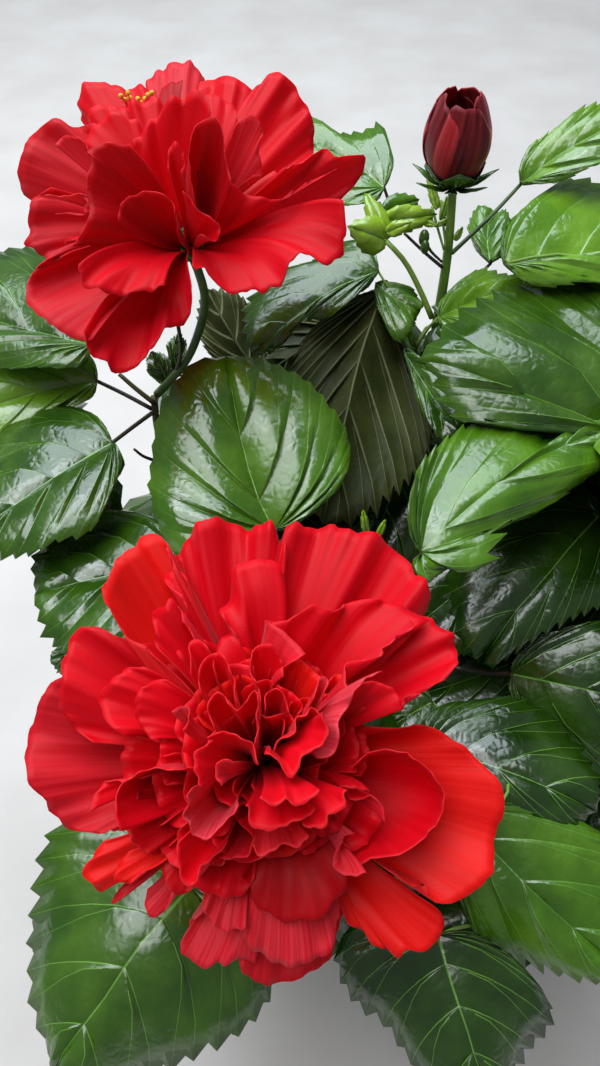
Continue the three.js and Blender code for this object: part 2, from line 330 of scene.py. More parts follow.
PETAL_SIDES = (("petal_", PETAL_TONES, (0.42, 0.60), 0.06), ("petal_back_", PETAL_BACKS, (0.40, 0.55), 0.14))
petal_finishes = []
for prefix, tones, rough, sheen in PETAL_SIDES:
    for tone, (low, high) in tones.items():
        ribs_per_cm = STREAKS_PER_CM if tone == "pale" else RIBS_PER_CM
        finish = petal_finish(prefix + tone, low, high, rough, sheen, PETAL_SPREAD, ribs_per_cm)
        petal_finishes.append(finish)
# The rim finish is a painted highlight: a paler, pinker red along each petal's cut edge.
petal_finishes.append(petal_finish("petal_rim_highlight", *RIM_HIGHLIGHT_TONES, (0.45, 0.55), 0.1, 0.15))
PETAL_TONE = {name: place for place, name in enumerate(PETAL_TONES)}
BACK_OFFSET = len(PETAL_TONES)
RIM_HIGHLIGHT_OFFSET = 2 * len(PETAL_TONES)

bud_finishes = []
for tone, (low, high) in BUD_TONES.items():
    bud_finishes.append(petal_finish("bud_" + tone, low, high, (0.28, 0.45), 0.35, 0.05))
print("petal finishes:", len(petal_finishes) + len(bud_finishes))

# %% [markdown]
# Every long shape here follows a curve: a leaf's midrib and its two edges, a petal's margin, a twig.
# So the first modelling tool is a smooth curve through a few points, read at an even speed. Blender's
# own curve objects would do, but then a surface stretched between three curves would be hard to make.

# %% A smooth curve through a few points
SAMPLES_PER_SPAN = 8
READ_AHEAD = 0.04


class Route:
    """A smooth curve through some points, read by the share of its length from 0 to 1."""

    def __init__(self, points):
        points = [Vector(point) for point in points]
        ends = [2 * points[0] - points[1], *points, 2 * points[-1] - points[-2]]
        self.line = []
        for before, start, end, after in zip(ends, ends[1:], ends[2:], ends[3:]):
            for sample in range(SAMPLES_PER_SPAN):
                t = sample / SAMPLES_PER_SPAN
                first = (end - before) * t
                second = (2 * before - 5 * start + 4 * end - after) * t ** 2
                third = (3 * start - before - 3 * end + after) * t ** 3
                self.line.append(start + (first + second + third) / 2)
        self.line.append(points[-1])
        self.reach = [0.0]
        for start, end in zip(self.line, self.line[1:]):
            self.reach.append(self.reach[-1] + (end - start).length)
        self.length = self.reach[-1]

    def at(self, share):
        """The place at a share of the length."""
        target = min(max(share, 0.0), 1.0) * self.length
        spot = min(max(bisect.bisect_right(self.reach, target), 1), len(self.line) - 1)
        span = self.reach[spot] - self.reach[spot - 1]
        part = (target - self.reach[spot - 1]) / span if span > 0 else 0.0
        return self.line[spot - 1].lerp(self.line[spot], part)

    def heading(self, share):
        """The way the curve runs there."""
        return (self.at(share + READ_AHEAD) - self.at(share - READ_AHEAD)).normalized()


print("samples between two points of a curve:", SAMPLES_PER_SPAN)

# %% [markdown]
# Leaves, petals and stems all start as a flat grid whose vertices are then moved to their places, and
# many of them are gathered in one working mesh before it becomes an object. These are the steps that
# they share: the grid, its finish, its petal map, and the object with its thickness.

# %% Sheets and pieces
MERGE_DISTANCE = 1e-6


def new_sheet():
    """An empty working mesh."""
    return bmesh.new()


def new_grid(sheet, across, along):
    """A flat grid to be bent into shape: each of its vertices with its row and its column."""
    verts = bmesh.ops.create_grid(sheet, x_segments=across, y_segments=along, size=1)["verts"]
    return {vert: divmod(number, across + 1) for number, vert in enumerate(verts)}


def faces_of(verts):
    """All the faces that meet these vertices."""
    return list({face for vert in verts for face in vert.link_faces})


def paint(faces, finish):
    """Gives faces the finish of this number."""
    for face in faces:
        face.material_index = finish


def map_petal(sheet, faces, places):
    """Writes the petal's own UV map: centimetres across and the share of its length."""
    layer = sheet.loops.layers.uv.get("petal") or sheet.loops.layers.uv.new("petal")
    for face in faces:
        for loop in face.loops:
            loop[layer].uv = places[loop.vert]


def finish_piece(sheet, name, finishes):
    """Turns a working mesh into an object at the origin, with its doubles merged and smooth shading."""
    bmesh.ops.remove_doubles(sheet, verts=sheet.verts, dist=MERGE_DISTANCE)
    mesh = bpy.data.meshes.new(name)
    sheet.to_mesh(mesh)
    sheet.free()
    for finish in finishes:
        mesh.materials.append(finish)
    mesh.polygons.foreach_set("use_smooth", [True] * len(mesh.polygons))
    piece = bpy.data.objects.new(name, mesh)
    scene.collection.objects.link(piece)
    return piece


def thicken(piece, thickness, back, rim):
    """Gives a sheet its thickness, with other finishes on its far side and along its cut edge."""
    wall = piece.modifiers.new("thickness", "SOLIDIFY")
    wall.thickness = thickness
    wall.offset = -1.0
    wall.material_offset = back
    wall.material_offset_rim = rim


print("sheet tools ready")

# %% [markdown]
# A hibiscus leaf is a broad oval with a row of teeth, and its veins fan out from the base and then
# branch off the midrib. The blade is one grid whose rows run along those veins, from the midrib out to
# the edge, so that veins, the quilted swelling between them and the teeth are all real geometry. A
# flat cut-out with a texture would be lighter, but it wouldn't catch the light in the same way. The
# rows come first: two for each vein, others between them, and two for the fork of each vein.

# %% The rows of a leaf blade
FORK_START = 0.30
FORK_FOOT = 0.10


def blade_rows(veins, between, forked):
    """The rows of a blade from base to tip: which gap between veins each is in, its place across that
    gap, which side of a vein it is on, and whether that vein is a fork."""
    rows = [(0, 0.0, 0, False)]
    for gap in range(veins + 1):
        for step in range(1, between + 1):
            place = step / (between + 1)
            pair = forked and abs(place - 0.5) < 0.01
            rows += [(gap, place, -1, True), (gap, place, 1, True)] if pair else [(gap, place, 0, False)]
        if gap < veins:
            vein = (gap + 1, 0.0)
            rows += [(*vein, -1, False), (*vein, 1, False)] if forked else [(*vein, 0, False)]
    return rows + [(veins, 1.0, 0, False)]


def fork_place(place, w):
    """Where a row lies between two veins: near the rib, the fork closes on the vein that bears it."""
    part = min(1.0, max(0.0, (w - FORK_START) / (1 - FORK_START)))
    spread = FORK_FOOT + (1 - FORK_FOOT) * part * part * (3 - 2 * part)
    if place <= 0.5:
        return place * spread, spread
    return 0.5 * spread + (place - 0.5) * (2 - spread), spread


print("rows of a full blade:", len(blade_rows(7, 3, True)))

# %% [markdown]
# Then the blade itself: each row runs from a place on the midrib to one on the edge. It is arched, swells
# between the veins, sweeps back a little, waves towards its margin and ends in a tooth. Veins are
# narrow strips that lie a little lower than the blade and have their own paler finish.

# %% The leaf blade
FAN_SHARE = 0.40
STEEPNESS = 1.3
VEIN_HALF = 0.00030
VEIN_SINK = 0.0002
VEIN_SWEEP = 0.07
VEIN_TAPER = 0.75
VEIN_OPENING = 7
FORK_WIDTH = 0.7
RIB_HALF = 0.00058
RIB_SINK = 0.0003
RIB_TAPER = 1.25
RIB_LIMIT = 0.3
SWELL_AT_FORK = 0.7
EDGE_WAVES = 2.6
OTHER_EDGE = 2.1
TEETH_START = 0.12
TEETH_GROWN = 0.2
TEETH_END = 6
TOOTH_GRAIN = 23
TOOTH_SEAT = 0.6
TOOTH_LEAN = 1.1


def add_blade(sheet, rib, edges, facing, tone, veins=7, between=3, columns=6, forked=True, tooth=0.026,
              pucker=0.0, arch=0.05, wave=0.0, phase=0.0, vein_scale=1.0, fan=FAN_SHARE):
    """Adds one leaf blade, stretched between its midrib and its two edges, upper side to facing."""
    along = rib.at(1) - rib.at(0)
    if (edges[1].at(0.5) - edges[0].at(0.5)).cross(along).dot(facing) < 0:
        edges = edges[::-1]
    rows = blade_rows(veins, between, forked)
    grid = new_grid(sheet, 2 * columns, len(rows) - 1)
    length = rib.length
    for vert, (row, column) in grid.items():
        gap, place, side_of_vein, is_fork = rows[row]
        side = 0 if column < columns else 1
        steps_out = abs(column - columns)
        w = max(0, steps_out - 1) / (columns - 1)
        shifted, spread = fork_place(place, w) if forked else (place, 0.0)
        share = (gap + shifted) / (veins + 1)
        rib_share = max(0.0, (share - fan) / (1 - fan)) ** STEEPNESS
        start = rib.at(rib_share)
        heading = rib.heading(rib_share)
        normal = (edges[1].at(share) - edges[0].at(share)).cross(heading)
        normal = normal.normalized() if normal.length > 1e-5 else facing
        end = edges[side].at(share)
        outward = end - start
        reach = outward.length
        if steps_out == 0 or reach < MERGE_DISTANCE:
            vert.co = start - normal * RIB_SINK
            continue
        strip = min(RIB_HALF * (RIB_TAPER - rib_share) / reach, RIB_LIMIT / columns)
        w = strip + (1 - strip) * w
        point = start.lerp(end, w)
        swell = math.sin(math.pi * min(w, 1.0))
        quilt = (1 - spread) * math.sin(math.pi * place)
        quilt += SWELL_AT_FORK * spread * abs(math.sin(2 * math.pi * place))
        point += normal * arch * reach * swell
        point += normal * pucker * quilt * swell
        point -= heading * VEIN_SWEEP * reach * swell
        turn = 2 * math.pi * EDGE_WAVES * share + phase + OTHER_EDGE * side
        point += normal * wave * w ** 2 * math.sin(turn)
        if side_of_vein:
            across = normal.cross(outward).normalized()
            if across.dot(heading) < 0:
                across.negate()
            half = VEIN_HALF * vein_scale * (1 - VEIN_TAPER * w) * min(1.0, VEIN_OPENING * w)
            half *= FORK_WIDTH if is_fork else 1.0
            point += across * side_of_vein * half - normal * VEIN_SINK
        if steps_out == columns:
            teeth = abs(math.cos(math.pi * place * (2 if between > 1 else 1)))
            grown = min(1.0, max(0.0, (share - TEETH_START) / TEETH_GROWN))
            grown *= min(1.0, (1 - share) * TEETH_END)
            uneven = 0.7 + 1.1 * abs(noise.noise(Vector((share * TOOTH_GRAIN + phase, side * 9.0, 0.5))))
            point += outward.normalized() * length * tooth * (teeth - TOOTH_SEAT) * grown * uneven
            point += heading * length * tooth * TOOTH_LEAN * teeth * grown * uneven
        vert.co = point
    for face in faces_of(grid):
        row = min(grid[vert][0] for vert in face.verts)
        column = min(grid[vert][1] for vert in face.verts)
        steps_out = columns - 1 - column if column < columns else column - columns
        on_vein = forked and rows[row][2] == -1
        if on_vein and rows[row][3]:
            on_vein = steps_out > FORK_START * (columns - 1)
        face.material_index = TONE["vein"] if on_vein or steps_out == 0 else TONE[tone]


print("blade tool ready")

# %% [markdown]
# Leaves that the photo doesn't show are all of one general shape: an oval that droops towards its tip
# and folds a little along its rib, each by its own measure. Copies of one finished leaf would be
# lighter, but their sameness shows at once in a spray.

# %% A leaf that grows by rule
PLAIN = {"between": 1, "forked": False}
SPRAY_DETAIL = {**PLAIN, "veins": 4, "columns": 3, "pucker": 0.0020}
DROOPS = (0.03, 0.16)
FOLDS = (-0.10, 0.28)
ARCHES = (0.02, 0.09)
OVAL = ((0.0, 0.0), (-0.03, 0.22), (0.10, 0.40), (0.30, 0.49), (0.54, 0.42), (0.77, 0.25), (0.92, 0.09),
        (1.0, 0.0))


def side_points(base, tip, facing, width, low, drop):
    """The points of an oval leaf's edge: how far each is along and out, then dropped below the rib."""
    along = tip - base
    across = along.cross(facing).normalized() * along.length * width
    shape = [(a + low if place == 1 else a, o) for place, (a, o) in enumerate(OVAL)]
    return [base + along * a + across * o - facing * (drop * abs(o) * along.length) for a, o in shape]


def grow_leaf(sheet, base, tip, facing, width, tone, chance, detail):
    """Adds a leaf of the general shape: it droops towards its tip and folds a little along its rib."""
    along = tip - base
    facing = (facing - along * (facing.dot(along) / along.length_squared)).normalized()
    droop = along.length * chance.uniform(*DROOPS)
    middle = base.lerp(tip, 0.5) + facing * droop
    rib = Route([base, base.lerp(middle, 0.5) + facing * droop * 0.2, middle, tip])
    fold = chance.uniform(*FOLDS)
    edges = []
    for side in (-1, 1):
        points = side_points(base, tip, facing, side * width, chance.uniform(-0.03, 0.02), fold)
        last = len(points) - 1
        lifted = [point + facing * droop * math.sin(math.pi * place / last)
                  for place, point in enumerate(points)]
        edges.append(Route(lifted))
    add_blade(sheet, rib, edges, facing, tone, wave=0.05 * along.length * chance.random(),
              phase=6 * chance.random(), arch=chance.uniform(*ARCHES), **detail)


print("points on the edge of an oval leaf:", len(OVAL))

# %% [markdown]
# The leaves that the photo shows whole or in part are set one by one. Each row gives the pixels of a
# leaf's midrib from base to tip and of its two edges, with the depth at its base and at its tip. The
# rises push the middle of the rib and of each edge towards the viewer, so that a leaf is arched, cupped
# or folded as in the photo and not a flat card that faces the camera. Depths and rises are in mm. A
# level of 1 lays a blade flat, and a third number beside a pixel folds the edge there by so many mm.

# %% The leaves that the photo shows
PHOTO_LEAVES = {
    # Each leaf's tone paints the light it stands in along with its own green: the darker tones are painted
    # shade and the lightest is painted light.
    "central": dict(
        tone="fresh", level=0.28, fan=0.66, tooth=0.013, pucker=0.0048, depth=(327, 336), rises=(1, 0, -7),
        rib=((274, 531), (262, 508), (251, 478), (239, 430), (226, 356)),
        left=((240, 547), (200, 560), (172, 552), (157, 520), (150, 488), (152, 452), (157, 418),
              (176, 384), (198, 360)),
        right=((298, 524), (317, 504), (339, 490), (351, 458), (347, 427), (331, 407), (300, 378),
               (262, 358))),
    "left_upper": dict(
        tone="mid", level=1.13, depth=(390, 420), rises=(0, -6, -2),
        rib=((92, 345), (50, 335), (0, 322), (-60, 300)),
        left=((86, 300), (50, 258), (10, 247), (-40, 256)),
        right=((80, 363), (48, 371), (10, 366), (-35, 346))),
    # This leaf's light tone is a painted sky reflection.
    "left_second": dict(
        tone="bright", level=0.19, pucker=0.0016, depth=(418, 400), rises=(-2, -6, -3),
        rib=((97, 381), (55, 388), (5, 402), (-50, 420)),
        left=((88, 352), (60, 350), (20, 354), (-25, 372)),
        right=((92, 398), (70, 410), (40, 418), (5, 440), (-30, 452))),
    "left_third": dict(
        tone="mid", level=0.85, depth=(388, 366), rises=(3, -10, 3),
        rib=((112, 443), (62, 472), (10, 508), (-32, 536)),
        left=((97, 424), (76, 407), (45, 403), (10, 423), (-25, 470)),
        right=((124, 460), (118, 485), (103, 512), (84, 531), (60, 541), (40, 554), (12, 554), (-14, 549))),
    "left_fourth": dict(
        tone="mid", level=1.18, pucker=0.0036, depth=(368, 363), rises=(-1, -8, -7),
        rib=((178, 556), (125, 572), (75, 583), (34, 596)),
        left=((160, 518), (112, 512), (66, 526), (38, 556)),
        right=((165, 625), (110, 650), (72, 650), (48, 634))),
    "left_small": dict(
        tone="dark", depth=(375, 368),
        rib=((96, 640), (72, 652), (50, 660)),
        left=((86, 630), (64, 638)),
        right=((82, 668), (60, 672))),
    "behind_rear_bloom": dict(
        tone="fresh", level=0.6, pucker=0.0016, depth=(415, 440), rises=(2, 2, 0),
        rib=((384, 187), (356, 165), (322, 148), (285, 140)),
        left=((394, 160), (390, 139), (382, 128), (364, 134), (340, 129), (314, 121)),
        right=((374, 203), (350, 208), (320, 195), (298, 168))),
    "under_rear_bloom": dict(
        tone="mid", level=0.7, pucker=0.0022, depth=(400, 390), rises=(4, -2, 2),
        rib=((378, 271), (332, 290), (288, 322), (251, 357)),
        left=((368, 249), (345, 240), (310, 260), (272, 280), (246, 302)),
        right=((358, 298), (335, 311), (306, 321), (280, 344))),
    "brown_underside": dict(
        tone="dark", level=0.0, veins=10, vein_scale=1.5, pucker=0.0045, underside=True, depth=(412, 372),
        rises=(6, 6, 0),
        rib=((384, 288), (362, 350), (345, 420), (322, 525)),
        left=((342, 304), (306, 333), (292, 380), (296, 430), (306, 490)),
        right=((398, 326), (414, 378), (433, 428), (423, 462), (397, 488), (362, 515))),
    "small_middle": dict(
        tone="fresh", level=0.7, depth=(405, 400),
        rib=((376, 284), (395, 298), (420, 312)),
        left=((400, 285), (423, 299)),
        right=((380, 318), (403, 339))),
    "upper_right": dict(
        tone="bright", level=0.5, depth=(398, 380), rises=(2, 0, 2),
        rib=((521, 184), (558, 155), (602, 130), (655, 100)),
        left=((525, 158), (540, 138), (560, 121), (590, 108), (630, 94)),
        right=((540, 184), (566, 177), (602, 166), (642, 138))),
    "right_second": dict(
        tone="bright", level=0.9, pucker=0.0036, depth=(374, 382), rises=(3, 2, -3),
        rib=((504, 264), (547, 258), (602, 251), (682, 236)),
        left=((503, 238), (514, 214), (537, 194), (565, 183), (602, 184), (655, 200)),
        right=((516, 276), (546, 284), (580, 286), (620, 281), (660, 264))),
    "right_behind": dict(
        tone="fresh", level=0.57, depth=(421, 441), rises=(0, -7, 2),
        rib=((490, 263), (487, 237), (491, 208)),
        left=((477, 250), (467, 229), (474, 212)),
        right=((506, 250), (513, 230), (505, 212))),
    # This leaf's light tone is a painted sky reflection.
    "crinkled_band": dict(
        tone="bright", level=0.62, pucker=0.004, depth=(388, 386), rises=(-6, -9, 1),
        rib=((438, 318), (475, 300), (515, 290), (556, 292)),
        left=((446, 293), (470, 276), (500, 270), (535, 276)),
        right=((448, 332), (480, 335), (515, 322), (545, 306))),
    "crinkled_lobe": dict(
        tone="mid", level=0.8, depth=(396, 362), rises=(0, 0, 0),
        rib=((404, 352), (425, 385), (442, 410), (462, 432)),
        left=((414, 385), (424, 418), (440, 436)),
        right=((424, 362), (448, 388), (461, 412))),
    "right_lobed": dict(
        tone="mid", level=0.6, fan=0.65, pucker=0.006, depth=(352, 350), rises=(6, 0, -2),
        rib=((660, 452), (602, 424), (520, 392), (415, 361)),
        left=((655, 360), (620, 300), (562, 284), (500, 294), (470, 310), (430, 345)),
        right=((630, 452), (580, 432), (530, 418), (472, 424), (450, 402), (430, 374))),
    "glossy_right": dict(
        tone="fresh", level=0.8, fan=0.55, depth=(325, 350), rises=(10, 2, -6),
        rib=((421, 552), (445, 528), (470, 506), (505, 477), (545, 454), (645, 412)),
        left=((408, 528, -10), (411, 490, -18), (422, 460, -18), (446, 438, -6), (487, 421), (530, 414),
              (552, 440), (580, 425), (618, 412)),
        right=((409, 562), (419, 577), (431, 582), (450, 569), (471, 575), (492, 562), (497, 532),
               (530, 516), (562, 496), (602, 470), (638, 438))),
    "dark_right": dict(
        tone="dark", depth=(392, 372), rises=(10, 0, 0),
        rib=((598, 517), (572, 545), (545, 578), (515, 612), (480, 664)),
        left=((585, 486), (540, 488), (496, 505), (462, 545), (448, 582), (456, 625), (466, 652)),
        right=((625, 548), (615, 592), (580, 614), (532, 640), (498, 664))),
    "node_right": dict(
        tone="dark", level=0.0, depth=(385, 365), rises=(6, -2, -2),
        rib=((512, 674), (560, 684), (612, 696), (690, 722)),
        left=((522, 648), (560, 628), (612, 622), (670, 660)),
        right=((514, 702), (545, 742), (592, 782), (642, 790), (680, 762))),
    "beside_bloom": dict(
        tone="dark", level=0.8, depth=(350, 332), rises=(4, 0, -6),
        rib=((428, 748), (480, 762), (540, 784), (597, 812)),
        left=((426, 722), (444, 704), (468, 697), (506, 696), (535, 709), (565, 727), (582, 752),
              (596, 780)),
        right=((440, 785), (480, 812), (530, 824), (570, 824))),
    "below_right": dict(
        tone="fresh", level=0.3, depth=(335, 316), rises=(4, 0, -4),
        rib=((452, 812), (497, 855), (531, 890), (600, 953), (628, 978)),
        left=((482, 800), (540, 803), (592, 826), (632, 872), (642, 930)),
        right=((450, 850), (455, 892), (474, 939), (484, 956), (504, 958), (537, 966), (562, 973),
               (588, 978), (606, 984))),
    "clump_low": dict(
        tone="dark", depth=(424, 416),
        rib=((168, 384), (160, 366), (150, 352)),
        left=((158, 382), (146, 368)),
        right=((174, 374), (166, 356))),
    "clump_high": dict(
        tone="dark", depth=(428, 422),
        rib=((178, 376), (174, 352), (180, 330)),
        left=((168, 362), (168, 344)),
        right=((186, 366), (186, 346))),
    "beside_stalk": dict(
        tone="dark", level=0.2, vein_scale=2.0, underside=True, depth=(438, 430),
        rib=((258, 376), (240, 348), (222, 318), (206, 288)),
        left=((232, 372), (206, 350), (198, 318)),
        right=((272, 352), (262, 322), (236, 294))),
    # The shade_ leaves fill spots of deep shade between the others, and their dark tone is painted shade.
    "shade_top": dict(
        tone="dark", level=0.2, vein_scale=1.6, underside=True, depth=(436, 430),
        rib=((334, 326), (300, 350), (266, 374)),
        left=((312, 312), (272, 332)),
        right=((322, 370), (290, 386))),
    "shade_middle": dict(
        tone="dark", depth=(426, 420),
        rib=((405, 462), (384, 515), (360, 580)),
        left=((368, 458), (316, 508), (320, 556)),
        right=((432, 468), (438, 520), (412, 568))),
    "shade_gap": dict(
        tone="mid", depth=(400, 396),
        rib=((432, 702), (404, 718), (372, 740)),
        left=((416, 684), (388, 704)),
        right=((436, 726), (404, 748))),
    "shade_upper": dict(
        tone="dark", depth=(424, 418),
        rib=((505, 548), (460, 590), (398, 640)),
        left=((470, 530), (425, 560), (396, 600)),
        right=((515, 600), (480, 645), (430, 662))),
    "shade_lower": dict(
        tone="dark", depth=(428, 420),
        rib=((560, 640), (490, 672), (402, 700)),
        left=((520, 612), (455, 630), (415, 665)),
        right=((540, 690), (480, 722), (425, 724))),
    "shade_right": dict(
        tone="dark", depth=(424, 420),
        rib=((625, 588), (560, 620), (492, 646)),
        left=((600, 556), (540, 580)),
        right=((612, 632), (552, 660))),
    "bottom_dark": dict(
        tone="dark", level=0.3, depth=(300, 292), rises=(6, -4, -4),
        rib=((438, 935), (452, 985), (466, 1026), (478, 1066), (490, 1094)),
        left=((398, 922), (358, 920), (334, 950), (346, 986), (363, 1007), (386, 1024), (414, 1064),
              (448, 1086)),
        right=((480, 934), (512, 954), (538, 982), (551, 1015), (536, 1042), (518, 1066), (506, 1086))),
    "bottom_left": dict(
        tone="mid", level=0.5, pucker=0.0036, depth=(300, 288), rises=(8, -2, -6),
        rib=((190, 886), (166, 915), (139, 946), (97, 1009), (66, 1046), (52, 1084)),
        left=((165, 846), (120, 815), (76, 812), (49, 840), (38, 884), (33, 926), (31, 962), (36, 1000),
              (46, 1042)),
        right=((226, 902), (262, 940), (275, 985), (263, 1010), (236, 1034), (203, 1050), (160, 1070),
               (104, 1084))),
}
print("leaves to set by the photo:", len(PHOTO_LEAVES))

# %% [markdown]
# A row of pixels becomes a row of places in the shrub's frame, and three such rows carry a blade. Each
# leaf is added to the working mesh of the mass that it is nearest to, so that it belongs to that piece.
# Leaves as single objects would be easier to move, but the part would have hundreds of pieces.

# %% Set the leaves of the photo
MM_PER_M = 1000
LEVEL_ANGLE = math.radians(50)
LEVEL_SLOPE = math.cos(LEVEL_ANGLE) / math.sin(LEVEL_ANGLE)
USUAL_LEVEL = 0.6
USUAL_RISES = (2, 0, 0)
USUAL_PUCKER = 0.0028
FULL_PUCKER_LENGTH = 0.06
PHOTO_SHAPE = {"fan": 0.50, "wave": 0.0025, "arch": 0.06}
SHAPE_WORDS = ("veins", "tooth", "vein_scale", "fan")


def photo_line(pixels, depth, rise, rib_heights, level):
    """Places a row of pixels. Its middle is raised towards the viewer, what lies above the rib in the
    photo is set further back, up to where the blade would lie level, and a fold adds to the depth."""
    last = len(pixels) - 1
    places = []
    for number, (u, v, *fold) in enumerate(pixels):
        share = number / last
        away = depth[0] + (depth[1] - depth[0]) * share - rise * math.sin(math.pi * share)
        away += sum(fold) / MM_PER_M
        spot = share * (len(rib_heights) - 1)
        before = min(int(spot), len(rib_heights) - 2)
        rib_height = rib_heights[before] + (rib_heights[before + 1] - rib_heights[before]) * (spot - before)
        away *= 1 + level * LEVEL_SLOPE * (rib_height - v) / FOCAL_PIXELS
        places.append(from_photo(u, v, away))
    return places


masses = {name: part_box(name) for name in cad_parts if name.startswith("foliage_")}
mass_middles = {name: (low + high) / 2 for name, (low, high) in masses.items()}
leaf_sheets = {name: new_sheet() for name in masses}
leaf_bases = []


def nearest_mass(point):
    """The mass of leaves whose middle is nearest."""
    return min(mass_middles, key=lambda name: (mass_middles[name] - point).length)


for name, leaf in PHOTO_LEAVES.items():
    depth = [mm / MM_PER_M for mm in leaf["depth"]]
    rib_rise, left_rise, right_rise = (mm / MM_PER_M for mm in leaf.get("rises", USUAL_RISES))
    base, tip = leaf["rib"][0], leaf["rib"][-1]
    heights = [v for u, v in leaf["rib"]]
    level = leaf.get("level", USUAL_LEVEL)
    rib = photo_line(leaf["rib"], depth, rib_rise, heights, 0)
    left = photo_line((base, *leaf["left"], tip), depth, left_rise, heights, level)
    right = photo_line((base, *leaf["right"], tip), depth, right_rise, heights, level)
    middle = (rib[0] + rib[-1]) / 2
    to_viewer = (CAMERA_PLACE - middle).normalized()
    facing = -to_viewer if leaf.get("underside") else to_viewer
    mass = nearest_mass(middle)
    rib_route = Route(rib)
    pucker = leaf.get("pucker", USUAL_PUCKER) * min(1.0, rib_route.length / FULL_PUCKER_LENGTH)
    shape = {**PHOTO_SHAPE, **{word: leaf[word] for word in SHAPE_WORDS if word in leaf}}
    add_blade(leaf_sheets[mass], rib_route, [Route(left), Route(right)], facing, leaf["tone"],
              pucker=pucker, phase=len(name), **shape)
    leaf_bases.append((name, rib[0], mass))
print("faces set by the photo:", sum(len(sheet.faces) for sheet in leaf_sheets.values()))

# %% [markdown]
# A bloom is a rosette of many petals that all rise from one cup. Each petal is a grid fanned out from
# the cup, bent at a knee, and spread to a margin that the photo shows, then ruffled by noise that grows
# towards the margin. A simulated cloth would ruffle too, but it couldn't be told where to fall.

# %% One petal
PETAL_THICKNESS = 0.00034
CLAW_HALF = 0.0016
BEND_SPREAD = 0.62
EDGE_LIFT = 0.0016
LOOK_ASIDE = 0.08
SWING = 3.6
RIPPLE = 1.5
FULL_RUFFLE_WIDTH = 0.045
CRINKLES_PER_M = 280
CRINKLE = 0.0011
RIB_SPACING = 0.0045
RIB_RELIEF = 0.00006
CM_PER_M = 100


def add_petal(sheet, root, knee, margin, facing, tone, seed, ruffle, cup, across=30, along=16, waves=3.0,
              back=False):
    """Adds one petal from the cup at root, past its knee, out to its margin."""
    edge = Route(margin)
    middle = sum((edge.at(place / 6) for place in range(7)), Vector()) / 7
    heading = (middle - knee).normalized()
    normal = (edge.at(1) - edge.at(0)).cross(heading).normalized()
    grid = new_grid(sheet, across, along)
    width = edge.length
    ribs = round(width / RIB_SPACING)
    ruffle *= min(1.0, width / FULL_RUFFLE_WIDTH)
    places = {}
    for vert, (row, column) in grid.items():
        u, v = column / across, row / along
        rim = edge.at(u)
        bend = knee + (rim - middle) * BEND_SPREAD
        claw = root + (rim - middle).normalized() * CLAW_HALF * (2 * abs(u - 0.5))
        point = claw * (1 - v) ** 2 + bend * 2 * v * (1 - v) + rim * v * v
        slope = (rim - bend).normalized()
        local = (edge.at(u + LOOK_ASIDE) - edge.at(u - LOOK_ASIDE)).cross(slope)
        local = local.normalized() if local.length > MERGE_DISTANCE else normal
        local = (local + normal).normalized() if local.dot(normal) > -0.8 else normal
        side = 2 * u - 1
        swing = noise.noise(Vector((u * waves * 1.3, seed * 3.7, v * 1.3)))
        fine = noise.noise(Vector((u * waves * 2.7, seed * 5.1, v * 2.2)))
        point += local * ruffle * (SWING * swing * v ** 1.4 + RIPPLE * fine * v ** 4)
        point += slope * ruffle * (1.2 * fine + 0.8 * swing) * v ** 3
        crinkle = noise.noise(Vector((u * width * CRINKLES_PER_M, seed * 2.3, 0.7)))
        point += (local * 1.6 + slope) * CRINKLE * crinkle * v ** 6
        point += local * (cup * math.sin(math.pi * v) * (1 - side * side) + EDGE_LIFT * side * side * v)
        point += local * RIB_RELIEF * math.sin(2 * math.pi * ribs * u) * v * v
        vert.co = point
        places[vert] = (u * width * CM_PER_M, v)
    petal_faces = faces_of(grid)
    paint(petal_faces, PETAL_TONE[tone])
    map_petal(sheet, petal_faces, places)
    seen = -facing if back else facing
    if normal.dot(seen) < 0:
        bmesh.ops.reverse_faces(sheet, faces=petal_faces)


def shape_of(sheets):
    """A ray-test tree of some working meshes."""
    places, faces = [], []
    for sheet in sheets:
        start = len(places)
        sheet.verts.index_update()
        places += [vert.co.copy() for vert in sheet.verts]
        faces += [[start + vert.index for vert in face.verts] for face in sheet.faces]
    return BVHTree.FromPolygons(places, faces)


print("petal ribs per cm in the mesh:", round(0.01 / RIB_SPACING, 1))

# %% [markdown]
# Both blooms are built in the same way: their pixels lie on a plane through the bloom's middle, at a
# height above it, and all petals start from one cup. Large petals come from the photo. Small ones, the
# lobes, are dealt out round the middle by rule, because there are too many of them to read off.

# %% Where a bloom's petals go
FINE_GRID = dict(across=44, along=22)
LOBE_DEPTHS = (0.30, 0.55)
LOBE_UNEVEN = 0.06
LOBE_KNEE = 0.62
LOBE_TUCK = 0.10
LOBE_FOLDS = (0.0024, -0.001)
LOBE_OUTLINE = ((-0.50, -0.55), (-0.46, -0.10), (-0.26, 0.16), (0.0, 0.22), (0.26, 0.14), (0.47, -0.12),
                (0.50, -0.55))


